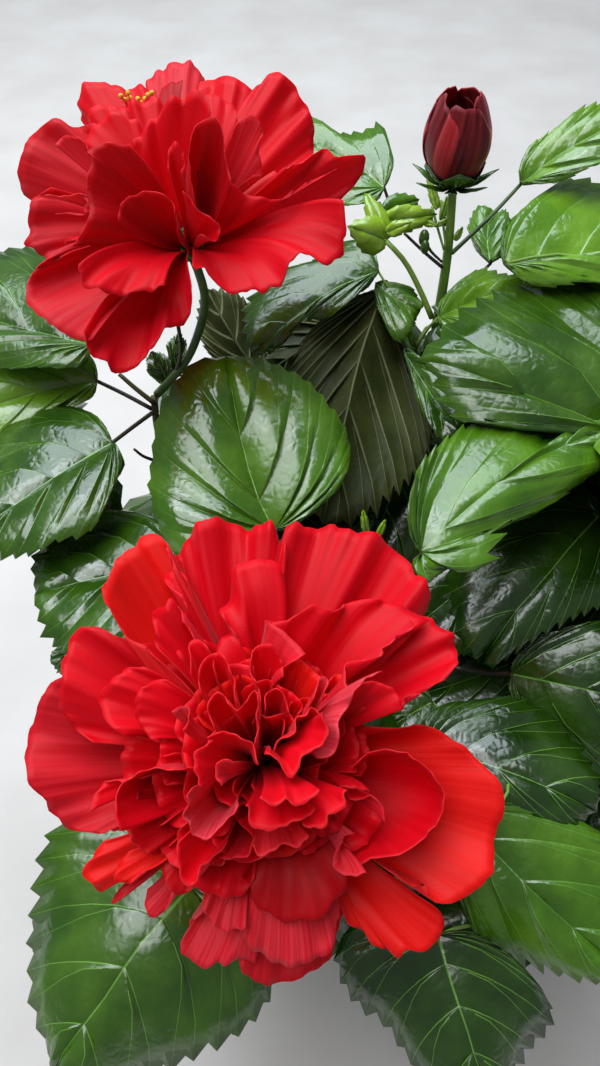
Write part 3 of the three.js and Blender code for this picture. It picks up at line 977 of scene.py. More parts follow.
class Bloom:
    """Where a bloom's petals are placed: pixels on a plane through its middle, raised to the viewer."""

    def __init__(self, centre_pixel, depth, cup_pixel, cup_lift):
        self.depth = depth
        self.centre = from_photo(*centre_pixel, depth)
        self.facing = (CAMERA_PLACE - self.centre).normalized()
        self.cup = self.place(*cup_pixel, cup_lift)
        self.axis = self.facing
        self.heart = self.centre

    def place(self, u, v, lift):
        """The place that a pixel shows at a height above the bloom's plane."""
        ray = (from_photo(u, v, self.depth) - CAMERA_PLACE).normalized()
        target = self.centre + self.facing * lift
        reach = (target - CAMERA_PLACE).dot(self.facing) / ray.dot(self.facing)
        return CAMERA_PLACE + ray * reach

    def petals(self, sheet, rows, first_seed, **usual):
        """Adds the petals of a table, one for each row."""
        for number, (tone, (u, v, knee_height), heights, folds, shape, margin) in enumerate(rows):
            low, high = (mm / MM_PER_M for mm in heights)
            ruffle, cup = (tenths / (10 * MM_PER_M) for tenths in folds)
            last = len(margin) - 1
            rim = [self.place(*pixel, low + (high - low) * spot / last) for spot, pixel in enumerate(margin)]
            knee = self.place(u, v, knee_height / MM_PER_M)
            add_petal(sheet, self.cup, knee, rim, self.facing, tone, first_seed + number, ruffle, cup,
                      **{**usual, **shape})

    def lobe(self, sheet, number, chance, radius, angle, height, tone, width, fits=None):
        """A small petal that grows by rule, at a radius and angle round the bloom's middle."""
        aside = self.axis.cross(PHOTO_RIGHT).normalized()
        over = aside.cross(self.axis)
        out = aside * math.cos(angle) + over * math.sin(angle)
        edge = -aside * math.sin(angle) + over * math.cos(angle)
        middle = self.heart + out * radius + self.axis * height
        deep = width * chance.uniform(*LOBE_DEPTHS)
        rim = []
        for a, b in LOBE_OUTLINE:
            uneven = self.axis * width * chance.uniform(-LOBE_UNEVEN, LOBE_UNEVEN)
            rim.append(middle + edge * width * a + out * deep * b + uneven)
        if fits and not all(fits(point) for point in rim):
            return False
        knee = self.cup.lerp(middle, LOBE_KNEE) + self.axis * (LOBE_TUCK * width) - out * radius * LOBE_TUCK
        add_petal(sheet, self.cup, knee, rim, self.axis, tone, number, *LOBE_FOLDS, across=20, along=12)
        return True


print("points on a lobe's margin:", len(LOBE_OUTLINE))

# %% [markdown]
# The near bloom faces the viewer. Its big outer petals are flat and broad, and the middle is packed
# with small upright ones. Each row gives the petal's tone, the pixel and height of its knee, and the
# heights of its margin's two ends, in mm above the bloom's middle. Then come its ruffle and its cup in
# tenths of a mm, what else is special, and the pixels that its margin runs through.

# %% The near bloom
front = Bloom((255, 757), 0.240, (262, 762), -0.034)
FRONT_OUTER = (
    ("warm", (215, 690, -14), (-8, -4), (16, 60), {}, ((174, 572), (169, 552), (157, 533), (133, 545),
     (108, 571), (102, 597), (117, 623), (135, 637), (160, 650))),
    ("red", (238, 660, -16), (-14, -12), (20, 0), dict(waves=4), ((171, 560), (190, 534), (214, 523),
     (238, 521), (257, 526), (275, 532), (289, 556))),
    ("red", (310, 660, -14), (-10, -12), (20, 0), dict(waves=5), ((285, 545), (285, 527), (300, 523),
     (318, 522), (337, 523), (350, 531), (369, 534), (386, 538), (407, 562), (420, 584), (428, 603),
     (426, 622))),
    ("red", (345, 700, -12), (-4, -6), (22, -40), {}, ((404, 628), (430, 614), (444, 628), (459, 643),
     (457, 662), (446, 680), (430, 691), (408, 695), (402, 709))),
    ("warm", (355, 790, -20), (-12, -18), (18, -40), dict(waves=4), ((352, 724), (391, 725), (430, 728),
     (454, 742), (476, 758), (494, 778), (502, 806), (497, 838), (492, 860), (477, 882), (457, 900),
     (433, 900), (412, 882), (392, 866))),
    ("warm", (352, 880, -22), (-20, -22), (14, 0), {}, ((348, 892), (356, 908), (378, 932), (396, 959),
     (407, 951), (426, 950), (442, 930), (441, 913), (424, 900), (400, 880))),
    ("crimson", (300, 880, -30), (-30, -30), (14, 0), {}, ((341, 905), (336, 942), (321, 967), (292, 983),
     (273, 986), (252, 977), (240, 955))),
    ("pale", (290, 870, -20), (-18, -20), (14, 60), {}, ((341, 908), (334, 942), (318, 955), (292, 964),
     (270, 961), (246, 946), (235, 920), (226, 900))),
    ("pale", (240, 890, -26), (-27, -27), (16, 0), {}, ((256, 962), (235, 958), (219, 961), (200, 970),
     (181, 955), (187, 929), (208, 905))),
    ("pale", (228, 880, -18), (-16, -16), (14, 0), {}, ((246, 926), (225, 934), (213, 922), (204, 908),
     (204, 880))),
    ("crimson", (130, 760, -20), (-16, -20), (18, 50), dict(waves=5), ((76, 670), (63, 676), (42, 696),
     (34, 728), (26, 755), (27, 778), (40, 797), (56, 816), (70, 829), (88, 834), (107, 832), (118, 822))),
    ("red", (140, 700, -14), (-10, -12), (20, 0), {}, ((150, 645), (120, 637), (103, 630), (90, 627),
     (78, 629), (68, 655), (60, 688), (63, 709), (79, 729), (92, 742))),
)
# Rows in the deep tone paint the shade that falls deep among the petals.
FRONT_INNER = (
    ("red", (175, 705, -8), (-4, -6), (22, 0), {}, ((144, 668), (125, 672), (107, 685), (101, 703),
     (106, 722), (120, 736))),
    ("red", (185, 710, -2), (0, -2), (22, 0), {}, ((164, 682), (146, 684), (135, 697), (137, 721),
     (150, 740))),
    ("red", (205, 670, -6), (-2, -2), (22, 20), {}, ((196, 640), (184, 620), (171, 595), (156, 613),
     (154, 632), (163, 650))),
    ("red", (205, 640, -8), (-8, -6), (22, 0), {}, ((186, 575), (178, 566), (170, 575), (176, 590),
     (190, 620))),
    ("red", (265, 660, -6), (0, -8), (22, 0), {}, ((246, 678), (232, 668), (219, 649), (219, 636),
     (233, 621), (223, 606), (232, 591), (236, 563), (256, 556), (284, 562))),
    ("red", (295, 660, -6), (2, -6), (20, 0), dict(waves=5), ((278, 672), (289, 649), (283, 636),
     (272, 628), (270, 619), (286, 621), (305, 604), (321, 609), (338, 610), (375, 601), (407, 605),
     (427, 618))),
    ("red", (335, 690, -2), (6, -2), (16, 0), {}, ((336, 694), (345, 673), (359, 664), (369, 661),
     (385, 648), (392, 636), (404, 626), (426, 620))),
    ("red", (360, 705, 0), (4, 0), (14, 0), {}, ((350, 690), (372, 682), (392, 688), (403, 708))),
    ("pale", (318, 715, 2), (12, 10), (10, 0), dict(back=True), ((386, 677), (372, 684), (359, 693),
     (349, 704), (340, 722), (343, 736), (335, 757), (320, 764))),
    ("red", (288, 735, 8), (18, 18), (12, -30), {}, ((268, 748), (264, 757), (278, 768), (291, 776),
     (300, 766), (310, 757), (318, 745), (323, 725), (320, 711))),
    ("red", (300, 722, 6), (14, 12), (12, 0), {}, ((270, 745), (286, 733), (298, 716), (312, 708),
     (324, 714))),
    ("red", (240, 735, 8), (16, 18), (6, -20), {}, ((211, 724), (207, 706), (212, 697), (219, 691),
     (228, 700), (237, 710), (246, 700), (256, 692), (257, 716), (258, 742))),
    ("red", (235, 750, 12), (22, 20), (10, 0), {}, ((209, 733), (224, 736), (245, 741), (262, 760))),
    ("red", (215, 765, 16), (24, 24), (8, -30), {}, ((216, 744), (203, 748), (195, 761), (196, 776),
     (207, 784))),
    ("red", (226, 768, 18), (28, 28), (6, -30), {}, ((236, 766), (226, 762), (217, 768), (217, 778),
     (228, 782))),
    ("pale", (215, 795, 10), (24, 18), (8, 30), dict(back=True), ((199, 786), (192, 800), (185, 815),
     (190, 828), (196, 834), (213, 832), (228, 818), (238, 800))),
    ("red", (215, 830, 0), (10, 8), (8, 30), {}, ((182, 842), (178, 852), (188, 883), (206, 862),
     (224, 838))),
    ("red", (280, 795, 8), (18, 18), (10, -30), {}, ((249, 800), (255, 815), (265, 824), (280, 829),
     (293, 824), (304, 815), (312, 802))),
    ("red", (286, 782, 14), (24, 22), (10, -30), {}, ((262, 792), (275, 803), (290, 804), (305, 798),
     (319, 786))),
    ("red", (312, 795, 6), (16, 16), (10, -30), {}, ((305, 815), (311, 823), (322, 825), (334, 811),
     (342, 798), (346, 788))),
    ("pale", (275, 825, 0), (10, 10), (12, 0), {}, ((254, 842), (262, 848), (276, 849), (292, 843),
     (304, 828))),
    ("red", (258, 835, -4), (6, 2), (10, 0), {}, ((246, 820), (254, 834), (251, 856), (240, 861),
     (224, 863))),
    ("deep", (305, 860, -14), (-10, -10), (14, -60), {}, ((246, 872), (256, 900), (285, 919), (321, 919),
     (346, 888), (350, 850))),
    ("red", (385, 800, -24), (-4, -6), (8, -60), {}, ((356, 762), (372, 752), (405, 752), (430, 770),
     (444, 790), (446, 808), (436, 827), (417, 843), (398, 854), (372, 862), (354, 874))),
    ("pale", (352, 850, -8), (-4, 0), (6, -20), {}, ((358, 836), (343, 842), (337, 858), (341, 872),
     (354, 876), (368, 868))),
    ("red", (345, 765, -6), (0, 0), (8, 0), {}, ((340, 786), (353, 788), (370, 787))),
    ("red", (362, 790, -8), (-2, -4), (8, 0), {}, ((352, 794), (366, 797), (382, 802), (390, 815))),
    ("deep", (275, 715, 0), (8, 8), (8, 0), {}, ((262, 706), (267, 694), (278, 688), (290, 710))),
    ("pale", (312, 712, 2), (10, 8), (6, 0), dict(back=True), ((308, 694), (320, 678), (329, 681),
     (325, 698))),
    ("pale", (190, 735, 6), (14, 12), (6, 0), dict(back=True), ((173, 707), (181, 705), (188, 710),
     (190, 728))),
    ("red", (222, 705, 0), (8, 8), (12, -20), {}, ((199, 690), (199, 671), (206, 659), (220, 655),
     (232, 677), (239, 702))),
    ("red", (208, 690, -2), (4, 4), (12, 0), {}, ((188, 672), (191, 641), (205, 645), (214, 657),
     (220, 672))),
    ("red", (266, 690, -2), (4, 2), (12, -20), {}, ((252, 680), (250, 661), (257, 648), (271, 645),
     (282, 660))),
    ("red", (160, 800, -6), (4, 4), (12, -60), {}, ((118, 830), (113, 812), (120, 790), (139, 778),
     (160, 768), (192, 763))),
    ("red", (160, 770, -8), (-2, -2), (14, 0), {}, ((88, 806), (98, 788), (118, 781), (140, 772))),
    ("deep", (165, 820, -10), (-4, -4), (12, 0), {}, ((140, 790), (128, 812), (128, 840), (150, 852))),
    ("warm", (160, 845, -14), (-12, -14), (10, 0), {}, ((104, 842), (84, 870), (90, 884), (100, 894))),
    ("warm", (175, 850, -10), (-8, -8), (8, 0), {}, ((130, 852), (113, 876), (122, 882), (150, 866))),
    ("deep", (165, 870, -18), (-18, -18), (8, 0), {}, ((122, 885), (110, 904), (122, 896), (140, 880))),
    ("pale", (180, 880, -18), (-18, -18), (10, 0), {}, ((146, 890), (145, 910), (154, 918), (166, 908),
     (172, 890))),
    ("deep", (195, 860, -10), (-10, -10), (12, 0), {}, ((160, 860), (165, 885), (180, 895), (200, 885))),
)
FRONT_LOBES = ((0.012, 0.004, 6), (0.020, 0.001, 9), (0.028, -0.005, 12), (0.037, -0.011, 14))
FRONT_SEED = 7

front_outer = new_sheet()
front.petals(front_outer, FRONT_OUTER, 0, **FINE_GRID)
front_inner = new_sheet()
front.petals(front_inner, FRONT_INNER, 40)
chance = random.Random(FRONT_SEED)
front_lobes = new_sheet()
for ring, (radius, height, count) in enumerate(FRONT_LOBES):
    for number in range(count):
        angle = 2 * math.pi * (number + 0.5 * (ring % 2) + chance.uniform(-0.3, 0.3)) / count
        front.lobe(front_lobes, 200 + 20 * ring + number, chance, radius * chance.uniform(0.85, 1.15), angle,
                   height + chance.uniform(-0.003, 0.002), chance.choice(("red", "red", "red", "warm")),
                   chance.uniform(0.014, 0.022))
print("petals of the near bloom:", len(FRONT_OUTER) + len(FRONT_INNER) + sum(row[2] for row in FRONT_LOBES))

# %% [markdown]
# The far bloom looks up and away, so the photo shows its side: big outer petals hang towards the viewer
# and smaller ones stand behind. Its rows read the same way, but the heights reach further.

# %% The far bloom
rear = Bloom((191, 250), 0.325, (191, 252), 0.000)
# Rows in the deep tone paint the shade that falls deep among the petals.
REAR_PETALS = (
    ("pale", (170, 130, -32), (-50, -50), (12, 0), {}, ((148, 98), (150, 84), (158, 71), (173, 64),
     (190, 59), (198, 70), (202, 86))),
    ("deep", (168, 125, -30), (-44, -44), (12, 0), {}, ((152, 104), (158, 90), (170, 82), (186, 84),
     (196, 98))),
    ("red", (125, 140, -26), (-45, -40), (12, 0), {}, ((86, 124), (78, 108), (78, 96), (85, 86), (97, 82),
     (110, 84), (126, 92), (134, 102))),
    ("red", (150, 135, -30), (-44, -44), (12, 0), {}, ((112, 112), (118, 94), (132, 88), (146, 88),
     (160, 92), (172, 104))),
    ("red", (120, 145, -16), (-26, -24), (12, 0), {}, ((88, 140), (92, 118), (104, 108), (122, 108),
     (138, 118))),
    ("red", (150, 150, -18), (-26, -26), (12, 0), {}, ((120, 128), (130, 108), (144, 100), (160, 100),
     (172, 112))),
    ("red", (215, 160, -20), (-35, -40), (22, 0), {}, ((262, 96), (245, 85), (230, 78), (217, 73),
     (200, 78), (190, 92))),
    ("crimson", (110, 180, -10), (-20, -10), (22, 0), dict(waves=4), ((92, 124), (56, 121), (38, 131),
     (23, 147), (19, 168), (24, 188), (36, 198))),
    ("red", (240, 165, -10), (-15, -25), (22, 0), FINE_GRID, ((312, 160), (315, 129), (307, 106), (296, 88),
     (275, 73), (255, 82))),
    ("crimson", (110, 215, 0), (0, 10), (22, 0), {}, ((46, 192), (31, 203), (27, 219), (28, 234), (25, 246),
     (43, 253), (66, 258))),
    ("pale", (100, 205, 4), (10, 10), (10, 0), {}, ((43, 193), (60, 194), (84, 196), (82, 214), (58, 218))),
    ("pale", (90, 165, 0), (4, 4), (10, 0), {}, ((55, 143), (62, 137), (80, 138), (90, 150))),
    ("red", (265, 215, 10), (10, 20), (14, 0), {}, ((343, 200), (362, 178), (365, 156), (338, 156),
     (309, 158), (285, 170))),
    ("red", (250, 225, 14), (40, 30), (18, 0), FINE_GRID, ((192, 268), (210, 280), (245, 289), (280, 282),
     (304, 258), (324, 259), (334, 244), (343, 219), (342, 198))),
    ("red", (245, 215, 16), (16, 20), (14, 0), {}, ((228, 182), (245, 193), (268, 199), (288, 198),
     (310, 182), (335, 168))),
    ("crimson", (130, 240, 10), (20, 45), (16, 40), FINE_GRID, ((70, 250), (42, 263), (26, 284), (28, 305),
     (43, 323), (64, 334), (90, 336))),
    ("red", (150, 270, 20), (45, 30), (20, 0), FINE_GRID, ((84, 332), (96, 355), (107, 370), (120, 374),
     (140, 366), (153, 347), (169, 331), (184, 310), (190, 285))),
    ("red", (140, 240, 26), (40, 40), (14, 0), {}, ((82, 262), (86, 285), (110, 295), (140, 290),
     (165, 285))),
    ("deep", (145, 205, 20), (30, 24), (16, 0), {}, ((71, 246), (84, 229), (89, 213), (86, 193), (94, 160),
     (87, 151), (102, 143), (128, 144))),
    ("red", (168, 180, 14), (14, 16), (22, -40), {}, ((126, 152), (143, 124), (163, 104), (189, 95),
     (205, 101), (211, 120))),
    ("deep", (160, 235, 24), (28, 26), (8, -30), {}, ((118, 222), (122, 203), (138, 193), (158, 193),
     (173, 203), (178, 225))),
    ("deep", (205, 205, 20), (24, 26), (6, -50), {}, ((192, 195), (189, 165), (190, 142), (197, 125),
     (212, 117), (222, 129), (225, 154), (232, 180))),
    ("deep", (212, 190, 10), (12, 12), (6, -30), {}, ((196, 175), (200, 140), (212, 128), (219, 150),
     (224, 190))),
    ("pale", (232, 185, 6), (10, 12), (10, 0), {}, ((228, 140), (238, 122), (253, 115), (262, 130),
     (259, 152), (261, 166), (246, 175))),
    ("red", (188, 205, 30), (36, 36), (5, 20), {}, ((167, 168), (169, 150), (175, 142), (182, 152),
     (186, 176))),
    ("red", (198, 222, 34), (40, 38), (8, 0), {}, ((188, 190), (200, 212), (212, 218), (220, 228),
     (216, 241), (204, 236))),
    ("red", (110, 130, -20), (-30, -28), (12, 0), {}, ((92, 122), (98, 112), (118, 108), (140, 116),
     (148, 130))),
    ("red", (125, 150, -4), (-12, -10), (14, 0), {}, ((86, 150), (88, 128), (108, 118), (135, 124),
     (152, 138))),
    ("red", (220, 130, -10), (-20, -24), (14, 0), {}, ((238, 130), (234, 104), (218, 92), (200, 96),
     (192, 112))),
)
rear_sheet = new_sheet()
rear.petals(rear_sheet, REAR_PETALS, 90)
print("petals of the far bloom that the photo shows:", len(REAR_PETALS))

# %% [markdown]
# The far bloom's other side is hidden by these petals. It is filled with rings of lobes that turn with
# the bloom's own axis. A ray from the camera tells whether a lobe stays hidden, because one that showed
# would spoil the outline that the photo gives.

# %% The hidden side of the far bloom
rear.axis = Vector((-0.27, 0.55, 0.79)).normalized()
rear.heart = rear.cup
rear_shape = shape_of([rear_sheet])
HIDDEN_DEPTH = 0.002
REAR_SEED = 11
REAR_LOBES = ((0.012, 0.030, 7, 0.018), (0.022, 0.027, 10, 0.022), (0.034, 0.020, 13, 0.026),
              (0.046, 0.014, 14, 0.032), (0.056, 0.008, 12, 0.040))


def behind_petals(point):
    """True where the far bloom's own petals hide a place from the camera."""
    away = point - CAMERA_PLACE
    reach = rear_shape.ray_cast(CAMERA_PLACE, away.normalized())[3]
    return reach is not None and reach < away.length - HIDDEN_DEPTH


chance = random.Random(REAR_SEED)
rear_lobes = new_sheet()
rear_grown = 0
for ring, (radius, height, count, width) in enumerate(REAR_LOBES):
    for number in range(count):
        angle = 2 * math.pi * (number + 0.5 * (ring % 2) + chance.uniform(-0.2, 0.2)) / count
        rear_grown += rear.lobe(rear_lobes, 300 + 20 * ring + number, chance, radius, angle,
                                height + chance.uniform(-0.003, 0.003),
                                chance.choice(("red", "red", "warm")), width, behind_petals)
print("petals of the far bloom:", len(REAR_PETALS) + rear_grown)

# %% [markdown]
# What the photo shows must stay as it shows it, so a leaf or petal that grows by rule may not cover what was
# set one by one, nor fill a gap where the floor shows. A ray from the camera tells: it is sent to each
# growing part, and meets the placed parts before it, behind it or not at all.

# %% What may show from the camera
FRAME_MARGIN = 16
CLEARANCE = 0.003
BOX_SPARE = 0.006
SHADE_SPOTS = ((432, 352, 26), (430, 590, 45), (455, 690, 40), (560, 500, 60), (400, 520, 30),
               (118, 500, 26), (172, 345, 18), (470, 930, 40), (590, 640, 30))
shown = shape_of([*leaf_sheets.values(), front_outer, front_inner, rear_sheet])


def in_frame(point):
    """True where the photo's frame, with a margin round it, holds a place."""
    return all(-FRAME_MARGIN < pixel < limit + FRAME_MARGIN
               for pixel, limit in zip(to_photo(point), (PHOTO_WIDTH, PHOTO_HEIGHT)))


def may_stand(point):
    """True where the photo wouldn't show this place, or shows only shade there."""
    if not in_frame(point):
        return True
    u, v = to_photo(point)
    away = point - CAMERA_PLACE
    reach = shown.ray_cast(CAMERA_PLACE, away.normalized())[3]
    if reach is not None:
        return reach < away.length - CLEARANCE
    return any(math.hypot(u - x, v - y) < size for x, y, size in SHADE_SPOTS)


def in_box(point):
    """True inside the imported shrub's box, a little enlarged."""
    return all(cad_low[axis] - BOX_SPARE < point[axis] < cad_high[axis] + BOX_SPARE for axis in range(3))


print("spots of shade where leaves may show:", len(SHADE_SPOTS))

# %% [markdown]
# Twigs, leaf stalks and flower stalks are tapering tubes. Each is a grid rolled round a curve, with its
# first and last ring drawn to a point so that the ends are closed. Curve objects with a bevel would
# give the same shape, but a grid joins hundreds of them into one mesh directly.

# %% Round stems
def add_stem(sheet, points, thick, thin, finish=0, sides=7, steps=8):
    """Adds one tapering tube through the points."""
    route = Route(points)
    whole = (route.at(1) - route.at(0)).normalized()
    steady = min((Vector((1, 0, 0)), Vector((0, 1, 0)), UPWARD), key=lambda axis: abs(axis.dot(whole)))
    rings = [0.0, *[step / steps for step in range(steps + 1)], 1.0]
    grid = new_grid(sheet, sides, len(rings) - 1)
    for vert, (ring, corner) in grid.items():
        share = rings[ring]
        heading = route.heading(share)
        first = steady.cross(heading).normalized()
        second = heading.cross(first)
        angle = 2 * math.pi * (corner % sides) / sides
        radius = 0.0 if ring in (0, len(rings) - 1) else thick + (thin - thick) * share
        vert.co = route.at(share) + radius * (first * math.cos(angle) + second * math.sin(angle))
    paint(faces_of(grid), finish)
    return route


print("stem tool ready")

# %% [markdown]
# Each bough ends where it enters its mass. From there a main twig runs on to the far side of the mass,
# and side twigs leave it in turn, each by the golden angle from the last, as on a real shoot. Where the
# photo would show a twig in front of the floor, it ends sooner. A ready-made tree generator is the
# other way, but it couldn't start from these boughs.

# %% Twigs
GOLDEN_ANGLE = math.radians(137.5)
SIDE_TWIGS = 6
MAIN_TWIG = (0.0024, 0.0012)
SIDE_TWIG = (0.0014, 0.0008)
SHORTEST_TWIG = 0.2
SIDE_TWIG_SPAN = (0.12, 0.7)
SIDE_TWIG_WAY = (0.9, 0.45, 0.25)
ENTRY_DEPTH = 0.004

twig_sheet = new_sheet()
carriers = []


def bough_end(mass):
    """The tip of the bough that feeds a mass."""
    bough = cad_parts[mass.replace("foliage_", "bough_")]
    middle = mass_middles[mass]
    nearest = sorted((vert.co for vert in bough.data.vertices), key=lambda place: (place - middle).length)
    return sum(nearest[:8], Vector()) / 8


def any_side(direction):
    """A direction square to this one."""
    return direction.orthogonal().normalized()


def unseen_part(points):
    """As much of a twig from its root as the photo wouldn't show, or None where that is too short."""
    route = Route(points)
    share = 1.0
    while share > SHORTEST_TWIG and not all(may_stand(route.at(share * place / 6)) for place in range(1, 7)):
        share -= 0.1
    return [route.at(share * place / 3) for place in range(4)] if share > SHORTEST_TWIG else None


def grow_twigs(mass, chance):
    """Runs a main twig through a mass and sets side twigs round it. Leaf stalks may start on them."""
    start = bough_end(mass)
    middle = mass_middles[mass]
    low, high = masses[mass]
    half = (high - low) / 2
    heading = (middle - start).normalized()
    reach = half.length / math.sqrt(3)
    tip = middle + heading * reach * 0.5 + UPWARD * reach * 0.15
    course = [start - heading * ENTRY_DEPTH, middle, tip]
    main = add_stem(twig_sheet, unseen_part(course) or course[:2], *MAIN_TWIG)
    first = any_side(heading)
    second = heading.cross(first)
    lowest, span = SIDE_TWIG_SPAN
    aside, onward, rise = SIDE_TWIG_WAY
    for number in range(SIDE_TWIGS):
        share = lowest + span * number / SIDE_TWIGS
        angle = number * GOLDEN_ANGLE + chance.uniform(-0.3, 0.3)
        side = first * math.cos(angle) + second * math.sin(angle)
        way = (side * aside + heading * onward + UPWARD * rise).normalized()
        root = main.at(share)
        long = reach * chance.uniform(0.5, 0.75)
        knee = root + way * long * 0.5 + UPWARD * long * 0.03
        end = root + way * long + UPWARD * long * 0.16
        course = unseen_part([root, knee, end])
        if course is None:
            continue
        twig = add_stem(twig_sheet, course, *SIDE_TWIG, finish=number % 2, sides=6, steps=5)
        carriers.extend(twig.at(place / 5) for place in range(1, 6))
    carriers.extend(main.at(place / 8) for place in range(1, 9))


print("side twigs in each mass:", SIDE_TWIGS)

# %% [markdown]
# Every leaf hangs from a thin stalk that starts on a near twig. Of the nearest places on the twigs, the
# first is taken from which the stalk reaches the leaf unseen. A stalk in front of the floor would show
# in the photo's view, and where none stays hidden, the leaf does without.

# %% Leaf stalks
STALK_TRIES = 16
LEAF_STALK = (0.0009, 0.0006)
STALK_OVERLAP = 0.0015

stalk_sheet = new_sheet()


def stalk_root(base):
    """The nearest place on a twig from which a stalk reaches the base unseen."""
    nearest = sorted(carriers, key=lambda place: (place - base).length_squared)[:STALK_TRIES]
    for place in nearest:
        if all(may_stand(place.lerp(base, share)) for share in (0.0, 0.25, 0.5, 0.75)):
            return place
    return None


def add_leaf_stalk(base, blade_way, finish=0):
    """A leaf stalk from a near twig to the base of a blade, bowed a little upward."""
    root = stalk_root(base)
    if root is None:
        return
    span = (base - root).length
    knee = root.lerp(base, 0.55) + UPWARD * span * 0.10 - blade_way * span * 0.12
    course = [root, knee, base + blade_way * STALK_OVERLAP]
    add_stem(stalk_sheet, course, *LEAF_STALK, finish, sides=5, steps=4)


print("places tried for each stalk:", STALK_TRIES)

# %% [markdown]
# The leaves of a spray sit near the outside of their mass, face outward and up, and are dealt out evenly
# over a ball by the golden angle. A leaf that the photo would show in front of the floor, or that leaves the
# crown, is dealt again and then left out. Two places between the masses at the back would be open from
# behind, so small sprays of their own fill them.

# %% Sprays of leaves
LEAVES_PER_MASS = 34
LEAVES_PER_OPENING = 10
TRIES_PER_LEAF = 4
CROWN_AXIS = Vector((0.0, 0.0, 0.25))
LEAF_LENGTHS = (0.050, 0.090)
LEAF_WIDTHS = (0.72, 0.95)
SEAT_REACH = (0.62, 1.02)
FACING_WEIGHTS = (0.45, 0.85, 0.32)
SAG = 0.25
CHECK_SPOTS = ((0.06, 0.38), (0.28, 0.52), (0.55, 0.46), (0.80, 0.26), (0.93, 0.10))
OPENINGS = (
    ("foliage_back_left", (-0.085, 0.045, 0.285), (0.030, 0.030, 0.045)),
    ("foliage_back_left", (-0.060, 0.070, 0.262), (0.030, 0.030, 0.040)),
)


def seat_direction(number, count):
    """One of count directions spread evenly over a ball."""
    height = 1 - 2 * (number + 0.5) / count
    level = math.sqrt(1 - height * height)
    return Vector((level * math.cos(number * GOLDEN_ANGLE), level * math.sin(number * GOLDEN_ANGLE), height))


def spray_leaf(middle, half, direction, chance):
    """One leaf of a spray, or None where it would show against the photo or leave the crown."""
    wobble = Vector((chance.uniform(-1, 1), chance.uniform(-1, 1), chance.uniform(-1, 1)))
    reach = Vector([half[axis] * direction[axis] for axis in range(3)])
    seat = middle + reach * chance.uniform(*SEAT_REACH)
    outward, upward, loose = FACING_WEIGHTS
    facing = (direction * outward + UPWARD * upward + wobble * loose).normalized()
    way = direction - UPWARD * SAG + wobble * 0.55
    way = (way - facing * way.dot(facing)).normalized()
    length = chance.uniform(*LEAF_LENGTHS)
    width = chance.uniform(*LEAF_WIDTHS)
    base = seat - way * length * 0.5
    tip = base + way * length
    across = way.cross(facing) * length * width
    checks = [base, tip]
    for share, out in CHECK_SPOTS:
        raised = base.lerp(tip, share) + facing * length * 0.10 * math.sin(math.pi * share)
        checks += [raised + across * out * side for side in (-1, -0.5, 0, 0.5, 1)]
    if not all(in_box(point) and may_stand(point) for point in checks):
        return None
    return base, tip, facing, width, way


def grow_spray(mass, middle, half, count, chance):
    """Deals out the leaves of one spray round its middle. Returns how many found a place."""
    grown = 0
    crown_out = (middle - CROWN_AXIS).normalized()
    for number in range(count):
        direction = seat_direction(number, count)
        if direction.dot(crown_out) < -0.35 and chance.random() < 0.6:
            continue
        for attempt in range(TRIES_PER_LEAF):
            leaf = spray_leaf(middle, half, direction, chance)
            if leaf:
                break
        if not leaf:
            continue
        base, tip, facing, width, way = leaf
        tone = chance.choice(("dark", "dark", "mid", "mid", "mid"))
        # Some leaves in the open that face up get the light tone: painted light on tops that face the sky.
        if not in_frame(base.lerp(tip, 0.5)) and facing.z > 0.7 and chance.random() < 0.25:
            tone = "bright"
        grow_leaf(leaf_sheets[mass], base, tip, facing, width, tone, chance, SPRAY_DETAIL)
        add_leaf_stalk(base, way, finish=chance.choice((0, 0, 1)))
        grown += 1
    return grown


leaf_count = 0
for order, mass in enumerate(sorted(masses)):
    chance = random.Random(100 + order)
    grow_twigs(mass, chance)
    low, high = masses[mass]
    leaf_count += grow_spray(mass, mass_middles[mass], (high - low) / 2, LEAVES_PER_MASS, chance)
for order, (mass, middle, half) in enumerate(OPENINGS):
    chance = random.Random(150 + order)
    leaf_count += grow_spray(mass, Vector(middle), Vector(half), LEAVES_PER_OPENING, chance)
print("leaves grown by rule:", leaf_count)

# %% [markdown]
# The photo shows a few stalks plainly: the dark ones that carry the leaves at the left, the flower
# stalks, and the shoot under the bud with its side stalks. They follow their own pixels. Stalks of the
# other placed leaves run to the nearest twig, where leaves hide them.

